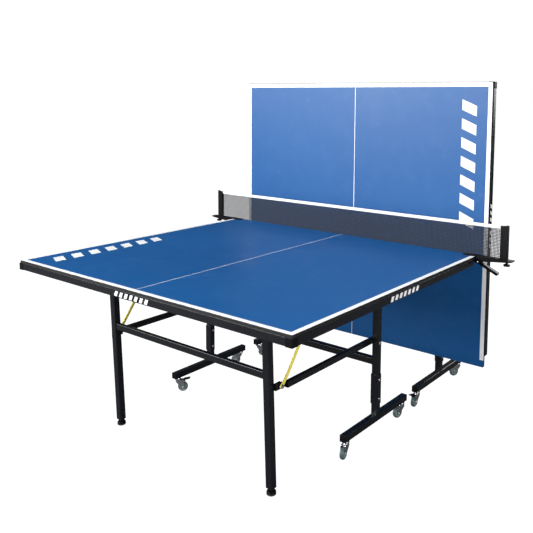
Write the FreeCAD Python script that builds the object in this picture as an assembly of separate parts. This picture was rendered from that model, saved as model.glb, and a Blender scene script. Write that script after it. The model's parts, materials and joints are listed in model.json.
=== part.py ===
import FreeCAD, Part
import math
import os

# A two-half rollaway table tennis table, in the playback position: the near half lies flat and
# carries the net, and the far half stands upright behind the net.
#
# One half is drawn lying flat, with X across the table, D the distance from its net edge towards
# its end edge, and Z the height above the floor. The near half lies along -Y from the net. The far
# half is its mirror image, with each of its bodies moved to where the folded linkage puts it.
# All lengths are in millimetres.

V = FreeCAD.Vector

# ---- driving dimensions ------------------------------------------------------------------------
BOARD_WIDTH = 1525.0
BOARD_LENGTH = 1370.0
BOARD_THICK = 15.0
PLAY_HEIGHT = 760.0
BOARD_BOTTOM = PLAY_HEIGHT - BOARD_THICK

APRON_LOW = 719.0            # lower edge of the steel apron
APRON_LIP_TOP = 748.0        # its rolled shoulder stands just above the board's lower face
APRON_LIP = 2.5
APRON_WIDTH = 25.5
APRON_START = 55.0           # the side aprons leave room for the net clamps
CAP_START = BOARD_LENGTH - 28.0
WALL = 1.6                   # wall of every steel tube
PLATE = 3.0                  # thickness of every steel plate

TUBE = 30.0                  # columns, beams and legs
COLUMN_X = 512.0
COLUMN_D = 468.0
COLUMN_JOINT = 212.0         # the upper column stands on the lower post here, inside the sleeve
COLUMN_TOP = 696.0
BEAM_Z = (70.0, 100.0)
BEAM_HALF = 251.0
END_CAP = 4.0
CROSS_TUBE_Z = (322.0, 352.0)
SLEEVE_Z = (148.0, 281.0)
SLEEVE_BOLT_Z = (171.0, 257.0)
BOLT_R = 4.0

FOLD_PIN = (504.0, 690.0)    # (D, Z): the half turns on its carriage here
LINK_PIN = (468.0, 421.0)    # the link bar turns on the column here
LEG_PIN = (1110.0, 690.0)    # the leg frame turns under the board here
LINK_END = (1074.0, 421.0)   # the link bar meets the leg frame here
PIN_R = 5.0
PIN_PLAY = 0.05

LEG_X = 445.0
LEG_FOOT_D = 1092.0
LEG_LEAN = 30.0 / 719.0      # the legs lean towards the end edge as they rise
LEG_Z = (27.0, 672.0)
BRACE_Z = (450.0, 478.0)
BRACE_DEPTH = 20.0
FOOT_R = 19.0
FOOT_NECK_R = 14.0
FOOT_STEM_R = 4.0

LINK_X = (471.0, 489.0)
LINK_HEIGHT = 25.0
TONGUE_X = (472.5, 475.5)
STRUT_X = (476.5, 480.5)
STRUT_PIN = (855.0, 705.0)
STRUT_BEND = (1042.0, 456.0)
STRUT_WIDTH = 14.0

BEARER_X = (393.0, 423.0)
BEARER_START = 190.0
BEARER_LOW = 721.0
CROSS_RAIL_LOW = 725.0
CROSS_RAIL_X = 466.0
NET_RAIL_X = 478.0
NET_RAIL_D = (48.0, 73.0)

CASTER_INSET = 26.0          # from the capped end of a beam to the caster's stem
CASTER_TRAIL = 25.0
WHEEL_R = 25.0
WHEEL_WIDTH = 18.0
AXLE_R = 3.0
FORK_GAP = 20.0
FORK_WALL = 2.0

NET_Y = -6.0
NET_TOP = 912.5
NET_BOTTOM = 762.5
NET_HALF = 884.0
TAPE_HEIGHT = 15.0
POST_X = (871.0, 910.0)
POST_Z = (762.0, 916.0)
ARM_TIP_X = 937.0
CLAMP_Y = (-38.0, -9.3)
CLAMP_PIVOT = (775.0, 735.0)  # (X, Z)
CLAMP_PIN_R = 3.0
KNOB_X = 903.0

PEDAL_PIN = (CASTER_TRAIL + 9.0, 56.0)   # (distance from the stem, Z)
PEDAL_REACH = 62.0

FAR_COLUMN_Y = 141.0         # where the far carriage stands with its half upright
PIN_TO_PIN = LEG_PIN[0] - FOLD_PIN[0]
FOLDED_STRUT_TURN = 48.4     # how far a strut swings against the board while its half folds

# Direction in which each caster trails, in degrees from +X, and whether it has a brake pedal.
CASTERS = {
    "near_left_outer": (42.0, True),
    "near_left_inner": (-145.0, False),
    "near_right_outer": (-80.0, False),
    "near_right_inner": (-106.0, True),
    "far_left_inner": (44.0, True),
    "far_left_outer": (-60.0, False),
    "far_right_inner": (-90.0, True),
    "far_right_outer": (-120.0, False),
}


# ---- small shape helpers -------------------------------------------------------------------------
def block(x, y, z):
    """A box from its lowest and highest value on each axis."""
    return Part.makeBox(x[1] - x[0], y[1] - y[0], z[1] - z[0], V(x[0], y[0], z[0]))


def slab(x, d, z):
    """A box of the near half, with D measured from the net edge."""
    return block(x, (-d[1], -d[0]), z)


def hollow(x, d, z, along):
    """A rectangular tube of the near half that runs along x, d or z."""
    inner = {"x": x, "d": d, "z": z}
    for axis in inner:
        if axis != along:
            inner[axis] = (inner[axis][0] + WALL, inner[axis][1] - WALL)
    return slab(x, d, z).cut(slab(inner["x"], inner["d"], inner["z"]))


def rod(x, at, radius):
    """A round bar along X through at = (D, Z)."""
    return Part.makeCylinder(radius, x[1] - x[0], V(x[0], -at[0], at[1]), V(1, 0, 0))


def upright(x, y, z, radius):
    """A round bar along Z."""
    return Part.makeCylinder(radius, z[1] - z[0], V(x, y, z[0]), V(0, 0, 1))


def side_plate(x, points):
    """A flat plate across X with a straight-sided outline of (D, Z) points."""
    ring = [V(x[0], -d, z) for d, z in points]
    face = Part.Face(Part.makePolygon(ring + [ring[0]]))
    return face.extrude(V(x[1] - x[0], 0, 0))


def front_plate(y, points):
    """A flat plate across Y with a straight-sided outline of (X, Z) points."""
    ring = [V(x, y[0], z) for x, z in points]
    face = Part.Face(Part.makePolygon(ring + [ring[0]]))
    return face.extrude(V(0, y[1] - y[0], 0))


def flat_bar(x, start, end, width):
    """A bar of the given width between two (D, Z) points, with square ends."""
    run = (end[0] - start[0], end[1] - start[1])
    length = math.hypot(*run)
    side = (-run[1] / length * width / 2, run[0] / length * width / 2)
    corners = [(start[0] + side[0], start[1] + side[1]), (end[0] + side[0], end[1] + side[1]),
               (end[0] - side[0], end[1] - side[1]), (start[0] - side[0], start[1] - side[1])]
    return side_plate(x, corners)


def fuse(first, *others):
    """One solid out of pieces that are welded or moulded together."""
    return first.fuse(list(others)).removeSplitter()


def mirror_x(shape):
    return shape.mirror(V(0, 0, 0), V(1, 0, 0))


def both_sides(shapes):
    """The right-hand solids and their left-hand mirror images."""
    return list(shapes) + [mirror_x(s) for s in shapes]


def leg_d(z):
    """Where the leaning leg's centre line is at a height."""
    return LEG_FOOT_D + LEG_LEAN * z


# ---- the folding top -----------------------------------------------------------------------------
def board():
    half = BOARD_WIDTH / 2
    return [slab((-half, half), (0, BOARD_LENGTH), (BOARD_BOTTOM, PLAY_HEIGHT))]


def end_apron():
    """A steel channel under the end edge, with a rolled shoulder in front of the board."""
    x = (-BOARD_WIDTH / 2 + APRON_WIDTH, BOARD_WIDTH / 2 - APRON_WIDTH)
    tube = hollow(x, (CAP_START, BOARD_LENGTH), (APRON_LOW, BOARD_BOTTOM), "x")
    lip = slab(x, (BOARD_LENGTH, BOARD_LENGTH + APRON_LIP), (APRON_LOW, APRON_LIP_TOP))
    return [fuse(tube, lip)]


def side_aprons():
    half = BOARD_WIDTH / 2
    d = (APRON_START, CAP_START)
    tube = hollow((half - APRON_WIDTH, half), d, (APRON_LOW, BOARD_BOTTOM), "d")
    lip = slab((half, half + APRON_LIP), d, (APRON_LOW, APRON_LIP_TOP))
    return both_sides([fuse(tube, lip)])


def corner_caps():
    """Plastic caps that close the two end corners of the apron."""
    half = BOARD_WIDTH / 2
    stand_out = APRON_LIP + 1.0
    outside = slab((half - APRON_WIDTH, half + stand_out), (CAP_START, BOARD_LENGTH + stand_out),
                   (APRON_LOW - 1.0, APRON_LIP_TOP))
    inside = slab((half - APRON_WIDTH, half), (CAP_START, BOARD_LENGTH), (BOARD_BOTTOM, PLAY_HEIGHT))
    cap = outside.cut(inside)
    upright_edges = [e for e in cap.Edges if len(e.Vertexes) == 2
                     and abs(e.Vertexes[0].X - half - stand_out) < 0.01
                     and abs(e.Vertexes[1].X - half - stand_out) < 0.01
                     and abs(e.Vertexes[0].Y + BOARD_LENGTH + stand_out) < 0.01
                     and abs(e.Vertexes[1].Y + BOARD_LENGTH + stand_out) < 0.01]
    return both_sides([cap.makeFillet(3.0, upright_edges)])


def under_rails():
    """The rail near the net, two bearers and two cross rails, cut to butt against each other."""
    rails = [hollow((-NET_RAIL_X, NET_RAIL_X), NET_RAIL_D, (APRON_LOW, BOARD_BOTTOM), "x")]
    bearer = hollow(BEARER_X, (BEARER_START, CAP_START), (BEARER_LOW, BOARD_BOTTOM), "d")
    rails += both_sides([bearer])
    for centre in (FOLD_PIN[0], LEG_PIN[0]):
        d = (centre - 12.0, centre + 12.0)
        z = (CROSS_RAIL_LOW, BOARD_BOTTOM)
        rails.append(hollow((-BEARER_X[0], BEARER_X[0]), d, z, "x"))
        rails += both_sides([hollow((BEARER_X[1], CROSS_RAIL_X), d, z, "x")])
    return rails


def fold_ears():
    """The ear plates that hang from the board beside the columns, with the pins that the half turns on."""
    bracket_x = COLUMN_X - TUBE / 2
    outer = bracket_x - PLATE - 0.3
    x = (outer - PLATE, outer)
    d, z = FOLD_PIN
    plate = fuse(side_plate(x, [(d - 15, BOARD_BOTTOM), (d + 15, BOARD_BOTTOM), (d + 12, z), (d - 12, z)]),
                 rod(x, FOLD_PIN, 12.0),
                 slab((CROSS_RAIL_X + 2, outer), (d - 17, d + 17), (BOARD_BOTTOM - PLATE, BOARD_BOTTOM)))
    plate = plate.cut(rod(x, FOLD_PIN, PIN_R))
    pin = fuse(rod((x[0], bracket_x + 7), FOLD_PIN, PIN_R),
               rod((bracket_x + 0.3, bracket_x + 5), FOLD_PIN, 8.0))
    return both_sides([plate, pin])


def leg_ears():
    """Two ear plates for each leg, under the second cross rail, and the pin through them."""
    d, z = LEG_PIN
    ears = []
    for low in (LEG_X - 14.0, LEG_X + 11.0):
        x = (low, low + PLATE)
        plate = fuse(side_plate(x, [(d - 12, CROSS_RAIL_LOW), (d + 12, CROSS_RAIL_LOW), (d + 12, z), (d - 12, z)]),
                     rod(x, LEG_PIN, 12.0))
        ears.append(plate.cut(rod(x, LEG_PIN, PIN_R)))
    reach = TUBE / 2 + PLATE
    pin = fuse(rod((LEG_X - reach - 4, LEG_X + reach + 4), LEG_PIN, PIN_R),
               rod((LEG_X - reach - 4, LEG_X - reach - 0.3), LEG_PIN, 8.0),
               rod((LEG_X + reach + 0.3, LEG_X + reach + 4), LEG_PIN, 8.0))
    return both_sides(ears + [pin])


def strut_brackets():
    """An angle plate under the board for each safety strut, with its pin."""
    d, z = STRUT_PIN
    x = (486.0, 489.0)
    plate = fuse(side_plate(x, [(d - 12, BOARD_BOTTOM), (d + 12, BOARD_BOTTOM), (d + 9, z), (d - 9, z)]),
                 rod(x, STRUT_PIN, 9.0),
                 slab((486.0, 512.0), (d - 17, d + 17), (BOARD_BOTTOM - PLATE, BOARD_BOTTOM)))
    plate = plate.cut(rod(x, STRUT_PIN, BOLT_R))
    pin = fuse(rod((474.2, 493.0), STRUT_PIN, BOLT_R),
               rod((474.2, 476.2), STRUT_PIN, 7.0),
               rod((STRUT_X[1] + 0.3, x[0]), STRUT_PIN, 6.0),
               rod((x[1], 493.0), STRUT_PIN, 7.0))
    return both_sides([plate, pin])


def top_brackets():
    return fold_ears() + leg_ears() + strut_brackets()


# ---- the wheeled carriage ------------------------------------------------------------------------
def column_square(z):
    """The outside of the column's square tube between two heights."""
    half = TUBE / 2
    return ((COLUMN_X - half, COLUMN_X + half), (COLUMN_D - half, COLUMN_D + half), z)


def sleeve_bolt_holes():
    holes = [rod((COLUMN_X - 30, COLUMN_X + 30), (COLUMN_D, z), BOLT_R) for z in SLEEVE_BOLT_Z]
    return holes


def base_beams():
    """Each beam is welded to a short post, and holds the stems that its casters turn on."""
    half = TUBE / 2
    beam = hollow((COLUMN_X - half, COLUMN_X + half), (COLUMN_D - BEAM_HALF, COLUMN_D + BEAM_HALF), BEAM_Z, "d")
    post = hollow(*column_square((BEAM_Z[1], COLUMN_JOINT)), "z")
    for hole in sleeve_bolt_holes():
        post = post.cut(hole)
    stems = []
    for side in (-1, 1):
        y = -COLUMN_D + side * (BEAM_HALF + END_CAP - CASTER_INSET)
        stems.append(upright(COLUMN_X, y, (53.0, BEAM_Z[1]), PIN_R))
        stems.append(upright(COLUMN_X, y, (53.0, 56.0), 8.0))
    return both_sides([fuse(beam, post, *stems)])


def columns():
    """Two uprights with the plates that carry the fold pins, and the tube that ties them together."""
    column = hollow(*column_square((COLUMN_JOINT, COLUMN_TOP)), "z")
    for hole in sleeve_bolt_holes() + [rod((COLUMN_X - 30, COLUMN_X + 30), LINK_PIN, BOLT_R)]:
        column = column.cut(hole)
    inner = COLUMN_X - TUBE / 2
    d, z = FOLD_PIN
    x = (inner - PLATE, inner)
    carrier = fuse(side_plate(x, [(COLUMN_D - 13, z - 50), (COLUMN_D + 13, z - 50), (d + 12, z - 6),
                                  (d + 8, z + 11), (COLUMN_D - 13, z + 5)]),
                   rod(x, FOLD_PIN, 14.0))
    carrier = carrier.cut(rod(x, FOLD_PIN, PIN_R + PIN_PLAY))
    tie = hollow((-inner, inner), (COLUMN_D - TUBE / 2, COLUMN_D + TUBE / 2), CROSS_TUBE_Z, "x")
    return both_sides([column, carrier]) + [tie]


def sleeves():
    """U-shaped brackets that join the column to the post, open towards the net."""
    half = TUBE / 2
    outside = slab((COLUMN_X - half - PLATE, COLUMN_X + half + PLATE),
                   (COLUMN_D - half + 2, COLUMN_D + half + PLATE), SLEEVE_Z)
    sleeve = outside.cut(slab(*column_square(SLEEVE_Z)))
    for hole in sleeve_bolt_holes():
        sleeve = sleeve.cut(hole)
    return both_sides([sleeve])


def carriage_bolts():
    """The through bolts of the sleeves and the bolts that the link bars turn on."""
    half = TUBE / 2
    bolts = []
    for z in SLEEVE_BOLT_Z:
        at = (COLUMN_D, z)
        bolts.append(fuse(rod((COLUMN_X - half - 10, COLUMN_X + half + 8), at, BOLT_R),
                          rod((COLUMN_X + half + PLATE, COLUMN_X + half + 8), at, 7.0),
                          rod((COLUMN_X - half - 8.5, COLUMN_X - half - PLATE), at, 6.5)))
    bolts.append(fuse(rod((464.0, COLUMN_X + half + 6), LINK_PIN, BOLT_R),
                      rod((464.0, LINK_X[0] - 0.3), LINK_PIN, 7.0),
                      rod((LINK_X[1] + 0.3, COLUMN_X - half), LINK_PIN, 8.0),
                      rod((COLUMN_X + half, COLUMN_X + half + 6), LINK_PIN, 7.0)))
    return both_sides(bolts)


def end_caps():
    """Plastic caps on the ends of the beams and on top of the columns."""
    half = TUBE / 2
    x = (COLUMN_X - half, COLUMN_X + half)
    caps = [slab(*column_square((COLUMN_TOP, COLUMN_TOP + END_CAP)))]
    for side in (-1, 1):
        face = COLUMN_D + side * BEAM_HALF
        caps.append(slab(x, tuple(sorted((face, face + side * END_CAP))), BEAM_Z))
    return both_sides(caps)


# ---- the leg frame, link bars and safety struts --------------------------------------------------
def leg_outline(inset, z):
    """The leaning leg's four corners in D and Z, drawn in by inset on both sides."""
    reach = TUBE / 2 - inset
    return [(leg_d(z[0]) - reach, z[0]), (leg_d(z[0]) + reach, z[0]),
            (leg_d(z[1]) + reach, z[1]), (leg_d(z[1]) - reach, z[1])]


def leg():
    half = TUBE / 2
    outside = side_plate((LEG_X - half, LEG_X + half), leg_outline(0, LEG_Z))
    plug_top = LEG_Z[0] + 12.0
    inside = side_plate((LEG_X - half + WALL, LEG_X + half - WALL), leg_outline(WALL, (plug_top, LEG_Z[1])))
    stem_hole = upright(LEG_X, -leg_d(0), (LEG_Z[0], plug_top), FOOT_STEM_R + PIN_PLAY)
    return outside.cut(inside).cut(stem_hole)


def leg_clips():
    """Two plates beside the leg's top that carry it on its pin."""
    d, z = LEG_PIN
    clips = []
    for x in ((LEG_X - TUBE / 2 - PLATE, LEG_X - TUBE / 2), (LEG_X + TUBE / 2, LEG_X + TUBE / 2 + PLATE)):
        low, high = LEG_Z[1] - 32.0, LEG_Z[1] - 4.0
        plate = fuse(side_plate(x, [(leg_d(low) - 13, low), (leg_d(low) + 13, low), (leg_d(high) + 13, high),
                                    (d + 12, z), (d - 12, z), (leg_d(high) - 13, high)]),
                     rod(x, LEG_PIN, 12.0))
        clips.append(plate.cut(rod(x, LEG_PIN, PIN_R + PIN_PLAY)))
    return clips


def link_clip():
    """A channel welded to the leg's outer face, with the bolt that the link bar turns on."""
    d, z = LINK_END
    zs = (z - 13, z + 13)
    inner = LEG_X + TUBE / 2
    channel = fuse(slab((inner, inner + PLATE), (d - 10, d + 48), zs),
                   slab((inner + PLATE, inner + 8), (d + 21, d + 24), zs),
                   slab((inner + 8, inner + 11), (d - 10, d + 24), zs))
    channel = channel.cut(rod((inner, inner + 11), LINK_END, BOLT_R))
    bolt = fuse(rod((inner - 5, STRUT_X[1] + 5), LINK_END, BOLT_R),
                rod((inner - 5, inner), LINK_END, 7.0),
                rod((STRUT_X[1] + 0.6, STRUT_X[1] + 5), LINK_END, 6.5))
    return [channel, bolt]


def leg_frame():
    middle = leg_d(sum(BRACE_Z) / 2)
    inner = LEG_X - TUBE / 2
    brace = hollow((-inner, inner), (middle - BRACE_DEPTH / 2, middle + BRACE_DEPTH / 2), BRACE_Z, "x")
    return both_sides([leg()] + leg_clips() + link_clip()) + [brace]


def links():
    """The bars that swing the leg frame as the half folds, each with a flat tongue at the leg."""
    half = LINK_HEIGHT / 2
    z = (LINK_PIN[1] - half, LINK_PIN[1] + half)
    tube = hollow(LINK_X, (LINK_PIN[0] - 18, LINK_END[0] - 24), z, "d")
    tongue = fuse(slab(TONGUE_X, (LINK_END[0] - 46, LINK_END[0]), (LINK_END[1] - 9, LINK_END[1] + 9)),
                  rod(TONGUE_X, LINK_END, 9.0))
    bar = fuse(tube, tongue)
    for at in (LINK_PIN, LINK_END):
        bar = bar.cut(rod(LINK_X, at, BOLT_R + PIN_PLAY))
    return both_sides([bar])


def struts():
    """Bent flat bars that hook over the link bolts and keep the leg frame open."""
    slot_end = (LINK_END[0] - 14.0, LINK_END[1] - 3.0)
    bar = fuse(flat_bar(STRUT_X, STRUT_PIN, STRUT_BEND, STRUT_WIDTH),
               flat_bar(STRUT_X, STRUT_BEND, LINK_END, STRUT_WIDTH),
               rod(STRUT_X, STRUT_PIN, 9.0),
               rod(STRUT_X, STRUT_BEND, STRUT_WIDTH / 2),
               rod(STRUT_X, LINK_END, 10.0))
    mouth = fuse(rod(STRUT_X, LINK_END, BOLT_R + 0.6),
                 flat_bar(STRUT_X, LINK_END, slot_end, 2 * BOLT_R + 1.2))
    return both_sides([bar.cut(rod(STRUT_X, STRUT_PIN, BOLT_R + PIN_PLAY)).cut(mouth)])


def levelling_foot(side):
    """A round foot on a stem that screws into the end of a leg."""
    x, y = side * LEG_X, -leg_d(0)
    pad = upright(x, y, (0, 16.0), FOOT_R)
    rims = [e for e in pad.Edges if isinstance(e.Curve, Part.Circle)]
    pad = pad.makeFillet(4.0, rims)
    neck = upright(x, y, (16.0, LEG_Z[0] - 0.5), FOOT_NECK_R)
    stem = upright(x, y, (LEG_Z[0] - 0.5, LEG_Z[0] + 30.0), FOOT_STEM_R)
    return [fuse(pad, neck, stem)]


# ---- casters -------------------------------------------------------------------------------------
def fork(braked):
    """A swivelling fork, drawn round the stem at X = Y = 0 with its wheel trailing along +X."""
    inner = FORK_GAP / 2
    outer = inner + FORK_WALL
    crown = fuse(upright(0, 0, (57.5, 61.0), 14.0),
                 block((0, CASTER_TRAIL + 4), (-outer, outer), (57.5, 60.0)))
    outline = [(-9, 60), (-9, 50), (CASTER_TRAIL - 7, WHEEL_R - 4), (CASTER_TRAIL + 7, WHEEL_R - 4),
               (CASTER_TRAIL + 4, 60)]
    if braked:
        outline[4:] = [(CASTER_TRAIL + 7, 50), (PEDAL_PIN[0] + 4, 52), (PEDAL_PIN[0] + 4, 60)]
    cheeks = [front_plate(y, outline) for y in ((-outer, -inner), (inner, outer))]
    race = upright(0, 0, (61.0, BEAM_Z[0] - 0.3), 15.0)
    axle = Part.makeCylinder(AXLE_R, 2 * outer + 6, V(CASTER_TRAIL, -outer - 3, WHEEL_R), V(0, 1, 0))
    solid = fuse(race, crown, *cheeks, axle)
    if braked:
        solid = solid.cut(pedal_bore(outer))
    return solid.cut(upright(0, 0, (50.0, 75.0), PIN_R + PIN_PLAY))


def wheel():
    """A tyre with a stepped hub, on the fork's axle."""
    centre = V(CASTER_TRAIL, -WHEEL_WIDTH / 2, WHEEL_R)
    tyre = Part.makeCylinder(WHEEL_R, WHEEL_WIDTH, centre, V(0, 1, 0))
    rims = [e for e in tyre.Edges if isinstance(e.Curve, Part.Circle)]
    tyre = tyre.makeFillet(4.0, rims)
    for y in (-WHEEL_WIDTH / 2, WHEEL_WIDTH / 2 - 3):
        dish = Part.makeCylinder(17.0, 3.0, V(CASTER_TRAIL, y, WHEEL_R), V(0, 1, 0))
        boss = Part.makeCylinder(7.0, 3.0, V(CASTER_TRAIL, y, WHEEL_R), V(0, 1, 0))
        tyre = tyre.cut(dish.cut(boss))
    bore = Part.makeCylinder(AXLE_R + PIN_PLAY, WHEEL_WIDTH, centre, V(0, 1, 0))
    return tyre.cut(bore)


def pedal_bore(reach):
    return Part.makeCylinder(1.5 + PIN_PLAY, 2 * reach, V(PEDAL_PIN[0], -reach, PEDAL_PIN[1]), V(0, 1, 0))


def pedal():
    """A brake pedal that rocks on a pin between the fork's ears and presses on the tyre."""
    half = FORK_GAP / 2 + FORK_WALL
    x, z = PEDAL_PIN
    plate = front_plate((-half, half), [(x - 4, 61.0), (x + 6, 61.0), (PEDAL_REACH, 66.5),
                                        (PEDAL_REACH, 69.2), (x - 4, 63.6)])
    barrel = Part.makeCylinder(3.2, FORK_GAP - 1.0, V(x, 0.5 - FORK_GAP / 2, z), V(0, 1, 0))
    web = front_plate((-4.0, 4.0), [(x - 3, z), (x + 3, z), (x + 4, 62.0), (x - 4, 62.0)])
    pin = Part.makeCylinder(1.5, 2 * half, V(x, -half, z), V(0, 1, 0))
    return fuse(plate, barrel, web, pin)


def caster_place(name):
    """Where a caster stands and how it is turned, in the near half's flat frame or the far one's."""
    half, side, end = name.split("_")
    x = COLUMN_X if side == "right" else -COLUMN_X
    reach = BEAM_HALF + END_CAP - CASTER_INSET
    centre = -COLUMN_D if half == "near" else FAR_COLUMN_Y
    outward = -1 if half == "near" else 1
    y = centre + outward * (reach if end == "outer" else -reach)
    return FreeCAD.Placement(V(x, y, 0), FreeCAD.Rotation(V(0, 0, 1), CASTERS[name][0]))


def casters():
    nodes = {}
    for name, (_, braked) in CASTERS.items():
        parts = {"fork": fork(braked), "wheel": wheel()}
        if braked:
            parts["pedal"] = pedal()
        for part, solid in parts.items():
            solid.Placement = caster_place(name)
            nodes[name + "_" + part] = [solid]
    return nodes


# ---- the net set ---------------------------------------------------------------------------------
def net_mesh():
    return [block((-NET_HALF, NET_HALF), (NET_Y - 0.6, NET_Y + 0.6), (NET_BOTTOM, NET_TOP - TAPE_HEIGHT))]


def net_tape():
    return [block((-NET_HALF, NET_HALF), (NET_Y - 1.2, NET_Y + 1.2), (NET_TOP - TAPE_HEIGHT, NET_TOP))]


def net_posts():
    """Channel-shaped posts with a slot down the inner side for the end of the net."""
    y = (NET_Y - 8.0, NET_Y + 7.0)
    outside = block(POST_X, y, POST_Z)
    slot = block((POST_X[0], POST_X[0] + 17.0), (NET_Y - 1.6, NET_Y + 1.6), POST_Z)
    back = block((POST_X[0] + 17.0, POST_X[0] + 25.0), (NET_Y - 5.0, NET_Y + 5.0), (POST_Z[0] + 4, POST_Z[1]))
    screw_hole = upright(KNOB_X, NET_Y, (POST_Z[0], POST_Z[0] + 12), BOLT_R + PIN_PLAY)
    return both_sides([outside.cut(slot).cut(back).cut(screw_hole)])


def clamp_arms():
    """The fixed half of each net clamp: a jaw on the board, a body at its edge and an arm under the post."""
    edge = BOARD_WIDTH / 2
    top = PLAY_HEIGHT + 5.5
    seat = POST_Z[0]
    jaw = front_plate(CLAMP_Y, [(702, PLAY_HEIGHT), (edge + 2, PLAY_HEIGHT), (edge + 2, top),
                                (745, top), (702, PLAY_HEIGHT + 2.5)])
    body = front_plate((CLAMP_Y[0] + 4, CLAMP_Y[1]), [(edge + 2, seat - 8), (866, seat - 8), (866, seat + 1),
                                                      (850, top), (edge + 2, top)])
    arm = front_plate((CLAMP_Y[0] + 4, 1.0), [(edge + 2, seat), (edge + 2, 750), (edge + 5, 729), (edge + 22, 727),
                                              (edge + 40, 741), (ARM_TIP_X - 12, 753), (ARM_TIP_X, 756),
                                              (ARM_TIP_X, seat)])
    room = front_plate((CLAMP_Y[0] + 8, CLAMP_Y[1] - 4), [(edge - 5, 700), (edge + 80, 700), (edge + 40, 742),
                                                          (edge + 22, 751), (edge - 5, 751)])
    x, z = CLAMP_PIVOT
    pin = Part.makeCylinder(CLAMP_PIN_R, 27.0, V(x, CLAMP_Y[0] + 2.0, z), V(0, 1, 0))
    screw_hole = upright(KNOB_X, NET_Y, (740, 770), BOLT_R + PIN_PLAY)
    return both_sides([fuse(jaw, body, arm).cut(room).cut(screw_hole).fuse(pin)])


def clamp_lever():
    """The moving half: a jaw under the board on one side of the pivot and a handle on the other."""
    x, z = CLAMP_PIVOT
    y = (CLAMP_Y[0] + 8.3, CLAMP_Y[1] - 4.3)
    jaw = front_plate(y, [(x + 4, z - 5), (x + 5, z + 4), (x - 6, z + 7), (x - 20, z + 5.5), (x - 60, z + 9.5),
                          (x - 68, z + 9.5), (x - 68, z + 6), (x - 20, z - 4), (x - 5, z - 6)])
    handle = front_plate(y, [(x - 5, z - 6), (x + 2, z + 7), (x + 98, z - 39), (x + 92, z - 50)])
    grip = front_plate((y[0] - 4, y[1] + 4), [(x + 44, z - 27), (x + 50, z - 16.5), (x + 98, z - 39),
                                              (x + 92, z - 50)])
    bore = Part.makeCylinder(CLAMP_PIN_R + PIN_PLAY, 60.0, V(x, CLAMP_Y[0] - 5, z), V(0, 1, 0))
    return fuse(jaw, handle, grip).cut(bore)


def net_knob():
    """The thumb screw that holds a post on its arm."""
    head = upright(KNOB_X, NET_Y, (730.0, 739.0), 15.0)
    rims = [e for e in head.Edges if isinstance(e.Curve, Part.Circle)]
    head = head.makeFillet(2.5, rims)
    return fuse(head, upright(KNOB_X, NET_Y, (739.0, 750.0), 5.5),
                upright(KNOB_X, NET_Y, (750.0, POST_Z[0] + 10), BOLT_R))


def net_set():
    return {
        "net_mesh": net_mesh(),
        "net_tape": net_tape(),
        "net_posts": net_posts(),
        "net_clamp_arms": clamp_arms(),
        "right_clamp_lever": [clamp_lever()],
        "left_clamp_lever": [mirror_x(clamp_lever())],
        "right_net_knob": [net_knob()],
        "left_net_knob": [mirror_x(net_knob())],
    }


# ---- assembly ------------------------------------------------------------------------------------
TOP = {"board": board, "end_apron": end_apron, "side_aprons": side_aprons, "corner_caps": corner_caps,
       "under_rails": under_rails, "top_brackets": top_brackets}
CARRIAGE = {"base_beams": base_beams, "columns": columns, "sleeves": sleeves,
            "carriage_bolts": carriage_bolts, "end_caps": end_caps}
LEGS = {"leg_frame": leg_frame,
        "left_foot": lambda: levelling_foot(-1),
        "right_foot": lambda: levelling_foot(1)}
LINKS = {"links": links}
STRUTS = {"struts": struts}


def turned(solid, at, degrees):
    """The solid turned about an axis along X through a (Y, Z) point."""
    copy = solid.copy()
    copy.rotate(V(0, at[0], at[1]), V(1, 0, 0), degrees)
    return copy


def to_far(solid, kind):
    """A near-half solid as it stands in the far half, folded upright behind the net."""
    far = solid.mirror(V(0, 0, 0), V(0, 1, 0))
    slide = FAR_COLUMN_Y - COLUMN_D
    far.translate(V(0, slide, 0))
    if kind in ("top", "struts"):
        far = turned(far, (FOLD_PIN[0] + slide, FOLD_PIN[1]), 90.0)
    if kind == "legs":
        far.translate(V(0, -PIN_TO_PIN, PIN_TO_PIN))
    if kind == "links":
        far = turned(far, (LINK_PIN[0] + slide, LINK_PIN[1]), 90.0)
    if kind == "struts":
        far = turned(far, folded_strut_pin(), FOLDED_STRUT_TURN)
    return far


def folded_strut_pin():
    """Where the far strut's pin is, as (Y, Z), with the far half upright."""
    slide = FAR_COLUMN_Y - COLUMN_D
    rise = STRUT_PIN[0] - FOLD_PIN[0]
    lift = STRUT_PIN[1] - FOLD_PIN[1]
    return (FOLD_PIN[0] + slide - lift, FOLD_PIN[1] + rise)


def halves():
    nodes = {}
    for kind, group in (("top", TOP), ("carriage", CARRIAGE), ("legs", LEGS), ("links", LINKS), ("struts", STRUTS)):
        for name, make in group.items():
            solids = make()
            nodes["near_" + name] = solids
            nodes["far_" + name] = [to_far(s, kind) for s in solids]
    return nodes


def main():
    nodes = halves()
    nodes.update(casters())
    nodes.update(net_set())
    cap_edge = BOARD_LENGTH + APRON_LIP + 1.0
    back = FAR_COLUMN_Y + BEAM_HALF + END_CAP
    to_origin = V(0, (cap_edge - back) / 2, 0)
    os.makedirs("parts", exist_ok=True)
    for name, solids in nodes.items():
        shape = solids[0] if len(solids) == 1 else Part.makeCompound(solids)
        shape.translate(to_origin)
        if not shape.isValid():
            raise ValueError(name + " is not a valid shape")
        shape.exportStep(os.path.join("parts", name + ".step"))
    print(len(nodes), "nodes; shift along Y", to_origin.y)


main()
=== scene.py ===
import json
import math
import bpy
import bmesh
from mathutils import Matrix, Vector

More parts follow.
